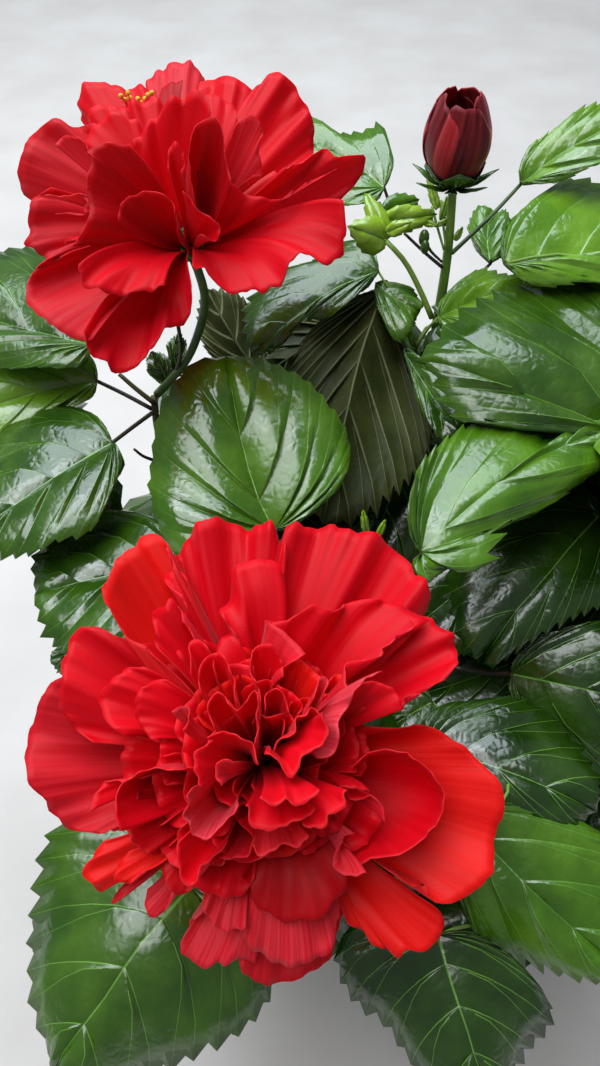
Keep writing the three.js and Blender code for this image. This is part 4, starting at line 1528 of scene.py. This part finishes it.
# %% Stalks that show
SHOWN_STALKS = (
    (((97, 381, 0.418), (124, 394, 0.419), (152, 409, 0.420)), 0.0010, 0.0012, 1),
    (((112, 443, 0.388), (133, 427, 0.402), (152, 413, 0.420)), 0.0010, 0.0012, 1),
    (((119, 374, 0.410), (135, 388, 0.414), (154, 403, 0.420)), 0.0011, 0.0014, 2),
    (((134, 449, 0.420), (143, 456, 0.424), (156, 461, 0.430)), 0.0007, 0.0010, 1),
    (((154, 396, 0.420), (158, 430, 0.430), (170, 470, 0.440)), 0.0019, 0.0022, 2),
    (((404, 233, 0.384), (424, 252, 0.386), (443, 268, 0.388)), 0.0007, 0.0009, 1),
    (((386, 241, 0.376), (405, 262, 0.380), (420, 290, 0.388), (432, 318, 0.396)), 0.0012, 0.0015, 0),
    (((521, 184, 0.398), (491, 216, 0.394), (452, 253, 0.388)), 0.0009, 0.0011, 3),
    (((384, 187, 0.415), (390, 205, 0.420), (398, 226, 0.424)), 0.0008, 0.0009, 1),
    (((444, 250, 0.386), (436, 222, 0.382), (432, 206, 0.380)), 0.0006, 0.0007, 0),
    (((446, 248, 0.386), (443, 222, 0.384), (441, 200, 0.382)), 0.0006, 0.0007, 0),
    (((442, 262, 0.387), (430, 250, 0.384), (424, 236, 0.382)), 0.0006, 0.0008, 1),
    (((455, 668, 0.382), (484, 672, 0.384), (512, 674, 0.386)), 0.0012, 0.0014, 1),
    (((491, 263, 0.421), (482, 272, 0.430), (470, 284, 0.430)), 0.0008, 0.0010, 1),
    (((177, 318, 0.352), (181, 352, 0.380), (172, 380, 0.412), (158, 396, 0.420)), 0.0009, 0.0012, 1),
)
OWN_STALKS = ("left_second", "left_third", "upper_right", "behind_rear_bloom", "node_right", "right_behind")
STALK_SKINS = ("green", "dark", "brown", "shade")
BUD_STALK = (0.0027, 0.0019)
REAR_STALK = (0.0019, 0.0021)
FRONT_STALK = (0.0024, 0.0020)
for pixels, thick, thin, finish in SHOWN_STALKS:
    add_stem(stalk_sheet, [from_photo(*pixel) for pixel in pixels], thick, thin, finish)
for name, base, mass in leaf_bases:
    if name not in OWN_STALKS:
        inward = (mass_middles[mass] - base).normalized()
        add_leaf_stalk(base, -inward * 0.2)

bud_foot = Vector((0.030, 0.113, 0.504))
bud_course = [Vector((0.032, 0.110, 0.425)), Vector((0.0325, 0.113, 0.466)), bud_foot]
rear_pixels = ((191, 254, 0.325), (200, 276, 0.330), (205, 302, 0.345), (198, 334, 0.370),
               (184, 364, 0.395), (157, 394, 0.420))
rear_course = [from_photo(*pixel) for pixel in rear_pixels]
front_course = [Vector((-0.050, -0.106, 0.350)), Vector((-0.052, -0.118, 0.388)), front.cup]
flower_stalks = new_sheet()
add_stem(flower_stalks, bud_course, *BUD_STALK, sides=10, steps=14)
add_stem(flower_stalks, rear_course, *REAR_STALK, finish=1, sides=10, steps=18)
add_stem(flower_stalks, front_course, *FRONT_STALK, sides=10, steps=12)
print("stalks that show:", len(SHOWN_STALKS) + 3)

# %% [markdown]
# The bud is five petals rolled round each other like a furled umbrella, dark maroon outside, with a red
# line where one edge overlaps the next. Each petal is a grid wrapped part way round an egg and turned
# as it climbs. Turning a solid on a lathe would lose the overlaps that make it read as a bud.

# %% The bud
BUD_AXIS = Vector((-0.05, -0.02, 1.0)).normalized()
BUD_LENGTH = 0.037
BUD_RADIUS = 0.0146
BUD_PETALS = 5
BUD_COLUMNS = 16
BUD_ROWS = 18
BUD_WIDTH_CM = 2.4
BUD_WALL = 0.0005
WRAP_ANGLE = 2.5
CLIMB_TURN = 0.55
START_TURN = 0.93
TORN = 0.10
DENT = 0.0005
RED_FROM_CM = 2.28
BROAD_RED_PETAL = 1
BROAD_RED_FROM_CM = 1.85
bud_side = any_side(BUD_AXIS)
bud_cross = BUD_AXIS.cross(bud_side)


def bud_radius(share):
    """A barrel: narrow at the calyx, widest near the middle, open at the top."""
    foot = 0.25 + 0.75 * min(1.0, share / 0.14) ** 0.7
    return BUD_RADIUS * foot * math.sin(math.pi * (0.13 + 0.75 * share)) ** 0.75


bud_sheet = new_sheet()
for petal in range(BUD_PETALS):
    grid = new_grid(bud_sheet, BUD_COLUMNS, BUD_ROWS)
    places = {}
    for vert, (row, column) in grid.items():
        u, v = column / BUD_COLUMNS, row / BUD_ROWS
        torn = TORN * noise.noise(Vector((u * 6.5, petal * 7.3, 0.4)))
        top = 1.0 - 0.26 * abs(2 * u - 0.9) ** 1.8 + 0.03 * math.sin(2.4 * petal) + torn
        share = v * top
        turn = 2 * math.pi * petal / BUD_PETALS + (u - 0.5) * WRAP_ANGLE + CLIMB_TURN * share + START_TURN
        splay = max(0.0, v - 0.72) ** 1.5 * 0.016 * (1 - abs(2 * u - 0.9))
        radius = bud_radius(share) * (0.90 + 0.16 * u) + splay
        radius += DENT * noise.noise(Vector((u * 5, petal * 3.1, v * 1.4)))
        side = bud_side * math.cos(turn) + bud_cross * math.sin(turn)
        vert.co = bud_foot + BUD_AXIS * BUD_LENGTH * share + side * radius
        places[vert] = (u * BUD_WIDTH_CM, v)
    petal_faces = faces_of(grid)
    map_petal(bud_sheet, petal_faces, places)
    red_from = BROAD_RED_FROM_CM if petal == BROAD_RED_PETAL else RED_FROM_CM
    paint([face for face in petal_faces if max(places[vert][0] for vert in face.verts) > red_from], 1)
bmesh.ops.recalc_face_normals(bud_sheet, faces=bud_sheet.faces)
bud_petals = finish_piece(bud_sheet, "bud_petals", bud_finishes)
thicken(bud_petals, BUD_WALL, 0, 1)
print("bud petals:", BUD_PETALS)

# %% [markdown]
# Under the bud and each bloom sits the calyx, a green cup of pointed sepals that hug the flower, and
# under that a ring of thin bracts. Both are the same blade as a leaf, without teeth and bent to the cup.
# A cone with cut points would be simpler, but its sepals would have no rib and no thickness.

# %% Calyx and bracts
SEPAL = {**PLAIN, "veins": 3, "columns": 3, "tooth": 0.0}
BRACT = {**PLAIN, "veins": 2, "columns": 2, "tooth": 0.0}
SEPALS = 5
BRACTS = 7
BRACT_RISE = 0.42
cup_sheet = new_sheet()


def add_cup(foot, axis, radius, height, bract_length):
    """A green calyx: a ring of pointed sepals that hug the flower, with thin bracts under them."""
    side = axis.cross(PHOTO_RIGHT).normalized()
    cross = side.cross(axis)
    for number in range(SEPALS):
        angle = 2 * math.pi * (number + 0.5) / SEPALS
        out = side * math.cos(angle) + cross * math.sin(angle)
        edge = -side * math.sin(angle) + cross * math.cos(angle)
        rib = Route([foot, foot + out * radius * 0.62 + axis * height * 0.24,
                     foot + out * radius * 0.98 + axis * height * 0.62,
                     foot + out * radius * 1.12 + axis * height])
        half = radius * math.sin(math.pi / SEPALS) * 1.12
        edges = []
        for sign in (-1, 1):
            low = foot + out * radius * 0.56 + axis * height * 0.22 + edge * sign * half * 0.7
            mid = foot + out * radius * 0.92 + axis * height * 0.60 + edge * sign * half
            edges.append(Route([foot, low, mid, rib.at(1)]))
        add_blade(cup_sheet, rib, edges, out, "mid", **SEPAL)
    for number in range(BRACTS):
        angle = 2 * math.pi * (number + 0.75) / BRACTS
        out = side * math.cos(angle) + cross * math.sin(angle)
        start = foot - axis * 0.001
        tip = start + out * bract_length + axis * bract_length * BRACT_RISE
        rib = Route([start, start.lerp(tip, 0.5) - axis * bract_length * 0.10, tip])
        edge = out.cross(axis) * bract_length * 0.15
        edges = []
        for sign in (-1, 1):
            middle = start.lerp(tip, 0.45) - axis * bract_length * 0.08 + edge * sign
            edges.append(Route([start, middle, tip]))
        add_blade(cup_sheet, rib, edges, axis, "mid", **BRACT)


add_cup(bud_foot - BUD_AXIS * 0.003, BUD_AXIS, radius=BUD_RADIUS * 0.85, height=0.0125, bract_length=0.020)
add_cup(rear.cup - rear.axis * 0.002, rear.axis, radius=0.007, height=0.012, bract_length=0.011)
add_cup(front.cup - front.facing * 0.002, front.facing, radius=0.008, height=0.014, bract_length=0.014)
print("faces of the three cups:", len(cup_sheet.faces))

# %% [markdown]
# Fresh lime-green leaves open at the shoot tip left of the bud, with tiny buds on threads beside them.
# They are short blades set by their pixels, still folded along the rib, and the buds are stretched
# icospheres. Each row gives the tone, the pixels of base and tip, the width and a turn to the right.

# %% Young leaves and small buds
YOUNG_LEAVES = (
    ("young", (386, 240, 0.376), (347, 226, 0.366), 0.85, 0.2),
    ("young", (386, 238, 0.376), (364, 192, 0.378), 0.50, 0.5),
    ("young", (384, 222, 0.380), (438, 214, 0.378), 0.52, 0.1),
    ("young", (388, 232, 0.372), (412, 222, 0.366), 0.60, -0.2),
    ("fresh", (384, 214, 0.384), (420, 199, 0.388), 0.70, 0.0),
    ("young", (438, 208, 0.382), (427, 175, 0.382), 0.30, 0.2),
    ("young", (441, 220, 0.383), (447, 195, 0.382), 0.34, 0.2),
    ("young", (424, 222, 0.380), (438, 226, 0.376), 0.50, 0.3),
    ("young", (455, 240, 0.384), (463, 226, 0.382), 0.50, 0.3),
    ("young", (436, 226, 0.380), (450, 218, 0.380), 0.36, 0.2),
    ("young", (366, 532, 0.330), (362, 508, 0.326), 0.35, 0.2),
    ("young", (378, 536, 0.328), (386, 518, 0.326), 0.40, 0.2),
)
YOUNG_DETAIL = {**PLAIN, "veins": 5, "columns": 3, "tooth": 0.035, "pucker": 0.0011}
SMALL_BUDS = ((424, 238, 0.382, 0.0026), (425, 247, 0.382, 0.0022), (444, 222, 0.384, 0.0016))
SMALL_BUD_STRETCH = (1, 1, 1.7)
young_sheet = new_sheet()
for number, (tone, base, tip, width, turn) in enumerate(YOUNG_LEAVES):
    chance = random.Random(500 + number)
    start, end = from_photo(*base), from_photo(*tip)
    facing = (CAMERA_PLACE - start).normalized() + PHOTO_RIGHT * turn
    grow_leaf(young_sheet, start, end, facing, width, tone, chance, YOUNG_DETAIL)
for u, v, depth, radius in SMALL_BUDS:
    ball = bmesh.ops.create_icosphere(young_sheet, subdivisions=2, radius=radius)["verts"]
    bmesh.ops.scale(young_sheet, vec=SMALL_BUD_STRETCH, verts=ball)
    bmesh.ops.translate(young_sheet, vec=from_photo(u, v, depth), verts=ball)
    paint(faces_of(ball), TONE["mid"])
print("young leaves:", len(YOUNG_LEAVES), "small buds:", len(SMALL_BUDS))

# %% [markdown]
# A few yellow anthers show near the top of the far bloom. Each is a small round head on a red thread,
# made from an icosphere, and they stand in a loose tuft in the middle of the rosette.

# %% Anthers
ANTHER_PIXELS = ((121, 96), (125, 100), (130, 98), (134, 102), (138, 99), (141, 103), (128, 93), (148, 95),
                 (145, 99), (152, 93))
ANTHER_RADIUS = 0.0011
THREAD = (0.0004, 0.0003)
TUFT_LIFT = -0.030
tuft_foot = rear.place(135, 130, TUFT_LIFT)
tuft_middle = rear.place(135, 120, TUFT_LIFT)
anther_sheet = new_sheet()
thread_sheet = new_sheet()
for number, (u, v) in enumerate(ANTHER_PIXELS):
    head = rear.place(u, v, TUFT_LIFT - 0.002 * (number % 3))
    ball = bmesh.ops.create_icosphere(anther_sheet, subdivisions=2, radius=ANTHER_RADIUS)["verts"]
    bmesh.ops.translate(anther_sheet, verts=ball, vec=head)
    add_stem(thread_sheet, [tuft_foot, head.lerp(tuft_middle, 0.4), head], *THREAD, sides=5, steps=4)
print("anthers:", len(ANTHER_PIXELS))

# %% [markdown]
# The stem and boughs are one woody skeleton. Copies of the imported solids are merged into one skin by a
# voxel remesh, which rounds their facets and welds the forks, and noise then raises the bark. The
# solids themselves stay as they are, because the frame may not be changed.

# %% Bark over the stem and boughs
BARK_VOXEL = 0.0015
BARK_RELIEF = 0.0005
RIDGES_ACROSS = 260
RIDGES_ALONG = 70
KNOTS = 90
KNOT_SHARE = 0.7
FLAT_FOOT = 0.004
wood_nodes = [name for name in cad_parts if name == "trunk" or name.startswith("bough_")]
wood = new_sheet()
for name in wood_nodes:
    wood.from_mesh(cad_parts[name].data)
bark_piece = finish_piece(wood, "bark", [skins["bark"]])
shell = bark_piece.modifiers.new("shell", "REMESH")
shell.mode = "VOXEL"
shell.voxel_size = BARK_VOXEL
shell.use_smooth_shade = True
soften = bark_piece.modifiers.new("soften", "SMOOTH")
soften.factor = 0.5
soften.iterations = 12
graph = bpy.context.evaluated_depsgraph_get()
grown = bpy.data.meshes.new_from_object(bark_piece.evaluated_get(graph))
bark_piece.modifiers.clear()
bark_piece.data = grown
bark = new_sheet()
bark.from_mesh(grown)
bark.normal_update()
for vert in bark.verts:
    place = vert.co
    ridge = noise.noise(Vector((place.x * RIDGES_ACROSS, place.y * RIDGES_ACROSS, place.z * RIDGES_ALONG)))
    knot = noise.noise(place * KNOTS)
    height_fade = min(1.0, place.z / FLAT_FOOT)
    vert.co = place + vert.normal * BARK_RELIEF * (ridge + KNOT_SHARE * knot) * height_fade
    vert.co.z = max(vert.co.z, 0.0)
bark.to_mesh(grown)
bark.free()
grown.materials.clear()
grown.materials.append(skins["bark"])
grown.polygons.foreach_set("use_smooth", [True] * len(grown.polygons))
print("bark faces:", len(grown.polygons))

# %% [markdown]
# Each working mesh now becomes a piece, rides on the plant's one body and hides the solids it stands for.
# Leaves and petals get their thickness here, so that both sides and the cut edge are real.

# %% Make the pieces and tie them to the frame
LEAF_THICKNESS = 0.00035
CUP_THICKNESS = 0.0004
YOUNG_THICKNESS = 0.0003


def tie(piece, slot, *replaced):
    """Hangs a piece on the plant's body in place of its solids. The slot is not used."""
    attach(piece, "root")
    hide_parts(*replaced)


tie(bark_piece, "bark", *wood_nodes)
tie(bud_petals, "bud_petals", "bud")
PETAL_WALL = (PETAL_THICKNESS, BACK_OFFSET, RIM_HIGHLIGHT_OFFSET)
LEAF_WALL = (LEAF_THICKNESS, UNDER_OFFSET, 0)
CUP_WALL = (CUP_THICKNESS, UNDER_OFFSET, 0)
YOUNG_WALL = (YOUNG_THICKNESS, UNDER_OFFSET, 0)
stalk_finishes = [skins[name] for name in STALK_SKINS]
PIECES = [(mass.replace("foliage_", "leaves_"), sheet, leaf_finishes, LEAF_WALL, "foliage", (mass,))
          for mass, sheet in leaf_sheets.items()]
PIECES += [
    ("bloom_front_outer_petals", front_outer, petal_finishes, PETAL_WALL, "petals", ("bloom_front",)),
    ("bloom_front_lobes", front_lobes, petal_finishes, PETAL_WALL, "petals", ()),
    ("bloom_front_inner_petals", front_inner, petal_finishes, PETAL_WALL, "petals", ()),
    ("bloom_rear_petals", rear_sheet, petal_finishes, PETAL_WALL, "petals", ("bloom_rear",)),
    ("bloom_rear_lobes", rear_lobes, petal_finishes, PETAL_WALL, "petals", ()),
    ("flower_stalks", flower_stalks, [skins["green"], skins["shade"]], None, "green_stem",
     ("stalk_front", "stalk_rear", "stalk_bud")),
    ("twigs", twig_sheet, [skins["brown"], skins["green"]], None, "green_stem", ()),
    ("leaf_stalks", stalk_sheet, stalk_finishes, None, "green_stem", ()),
    ("flower_cups", cup_sheet, leaf_finishes, CUP_WALL, "young_foliage", ()),
    ("young_leaves", young_sheet, leaf_finishes, YOUNG_WALL, "young_foliage", ()),
    ("anthers", anther_sheet, [skins["pollen"]], None, "pollen", ()),
    ("anther_threads", thread_sheet, petal_finishes[:1], None, "petals", ()),
]
for name, sheet, finishes, wall, slot, replaced in PIECES:
    piece = finish_piece(sheet, name, finishes)
    if wall:
        thicken(piece, *wall)
    tie(piece, slot, *replaced)
pieces = [item for item in scene.objects if item.type == "MESH" and not item.hide_render]
print("pieces:", len(pieces), "faces:", sum(len(item.data.polygons) for item in pieces))

# %% [markdown]
# The shrub stands on a plain pale floor under a soft sky, as outdoors in open shade. One large
# bluish panel hangs high behind it, where glossy leaves mirror it towards the camera. A smaller, paler
# one hangs above and to the left and gives the petals their shape. A sky picture would light it too,
# but soft panels are plain and easy to move.

# %% Floor, lights and sky
FLOOR_HALF = 4.0
FLOOR_ROUGHNESS = 0.9
FLOOR_PATCHES = 6.0
FLOOR_TONES = ((0.64, 0.605, 0.57), (0.72, 0.685, 0.65))
CROWN = (0.0, 0.0, 0.35)
SKY_COLOUR = (0.86, 0.92, 1.0, 1)
SKY_STRENGTH = 0.20
floor_sheet = new_sheet()
bmesh.ops.create_grid(floor_sheet, x_segments=2, y_segments=2, size=FLOOR_HALF)
floor_finish, floor_tree, floor_shader = new_finish("pale_floor")
floor_place = add_node(floor_tree, "TexCoord").outputs["Object"]
floor_patches = add_noise(floor_tree, floor_place, FLOOR_PATCHES, 6.0)
floor_colour = add_blend(floor_tree, floor_patches, *FLOOR_TONES)
floor_tree.links.new(floor_colour, floor_shader.inputs["Base Color"])
floor_shader.inputs["Roughness"].default_value = FLOOR_ROUGHNESS
finish_piece(floor_sheet, "floor", [floor_finish])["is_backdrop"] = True


def add_panel(name, place, target, size, power, colour):
    """A square soft light that looks at a target."""
    lamp = bpy.data.lights.new(name, "AREA")
    lamp.size = size
    lamp.energy = power
    lamp.color = colour
    panel = bpy.data.objects.new(name, lamp)
    panel.location = place
    panel.rotation_euler = (Vector(place) - Vector(target)).to_track_quat("Z", "Y").to_euler()
    scene.collection.objects.link(panel)


add_panel("sky_panel", (-0.45, 1.35, 2.7), CROWN, size=2.3, power=82.0, colour=(0.83, 0.92, 1.0))
add_panel("top_panel", (-0.9, -0.3, 2.8), CROWN, size=1.8, power=50.0, colour=(0.95, 0.96, 1.0))
world = bpy.data.worlds.new("pale_sky")
world.use_nodes = True
world.node_tree.nodes["Background"].inputs["Color"].default_value = SKY_COLOUR
world.node_tree.nodes["Background"].inputs["Strength"].default_value = SKY_STRENGTH
scene.world = world
scene.view_settings.view_transform = "Standard"
print("lights set")

# %% [markdown]
# How far the dressed shrub stands past the imported solids is printed, because a box is quick to compare and
# shows at once when a leaf has strayed. The dressed shrub may stand only a little past the imported solids.

# %% Print how far the shrub grew past the solids
low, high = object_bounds()
print("grown past the solids, in mm:", [round(1000 * (cad_low[axis] - low[axis]), 1) for axis in range(3)],
      [round(1000 * (high[axis] - cad_high[axis]), 1) for axis in range(3)])
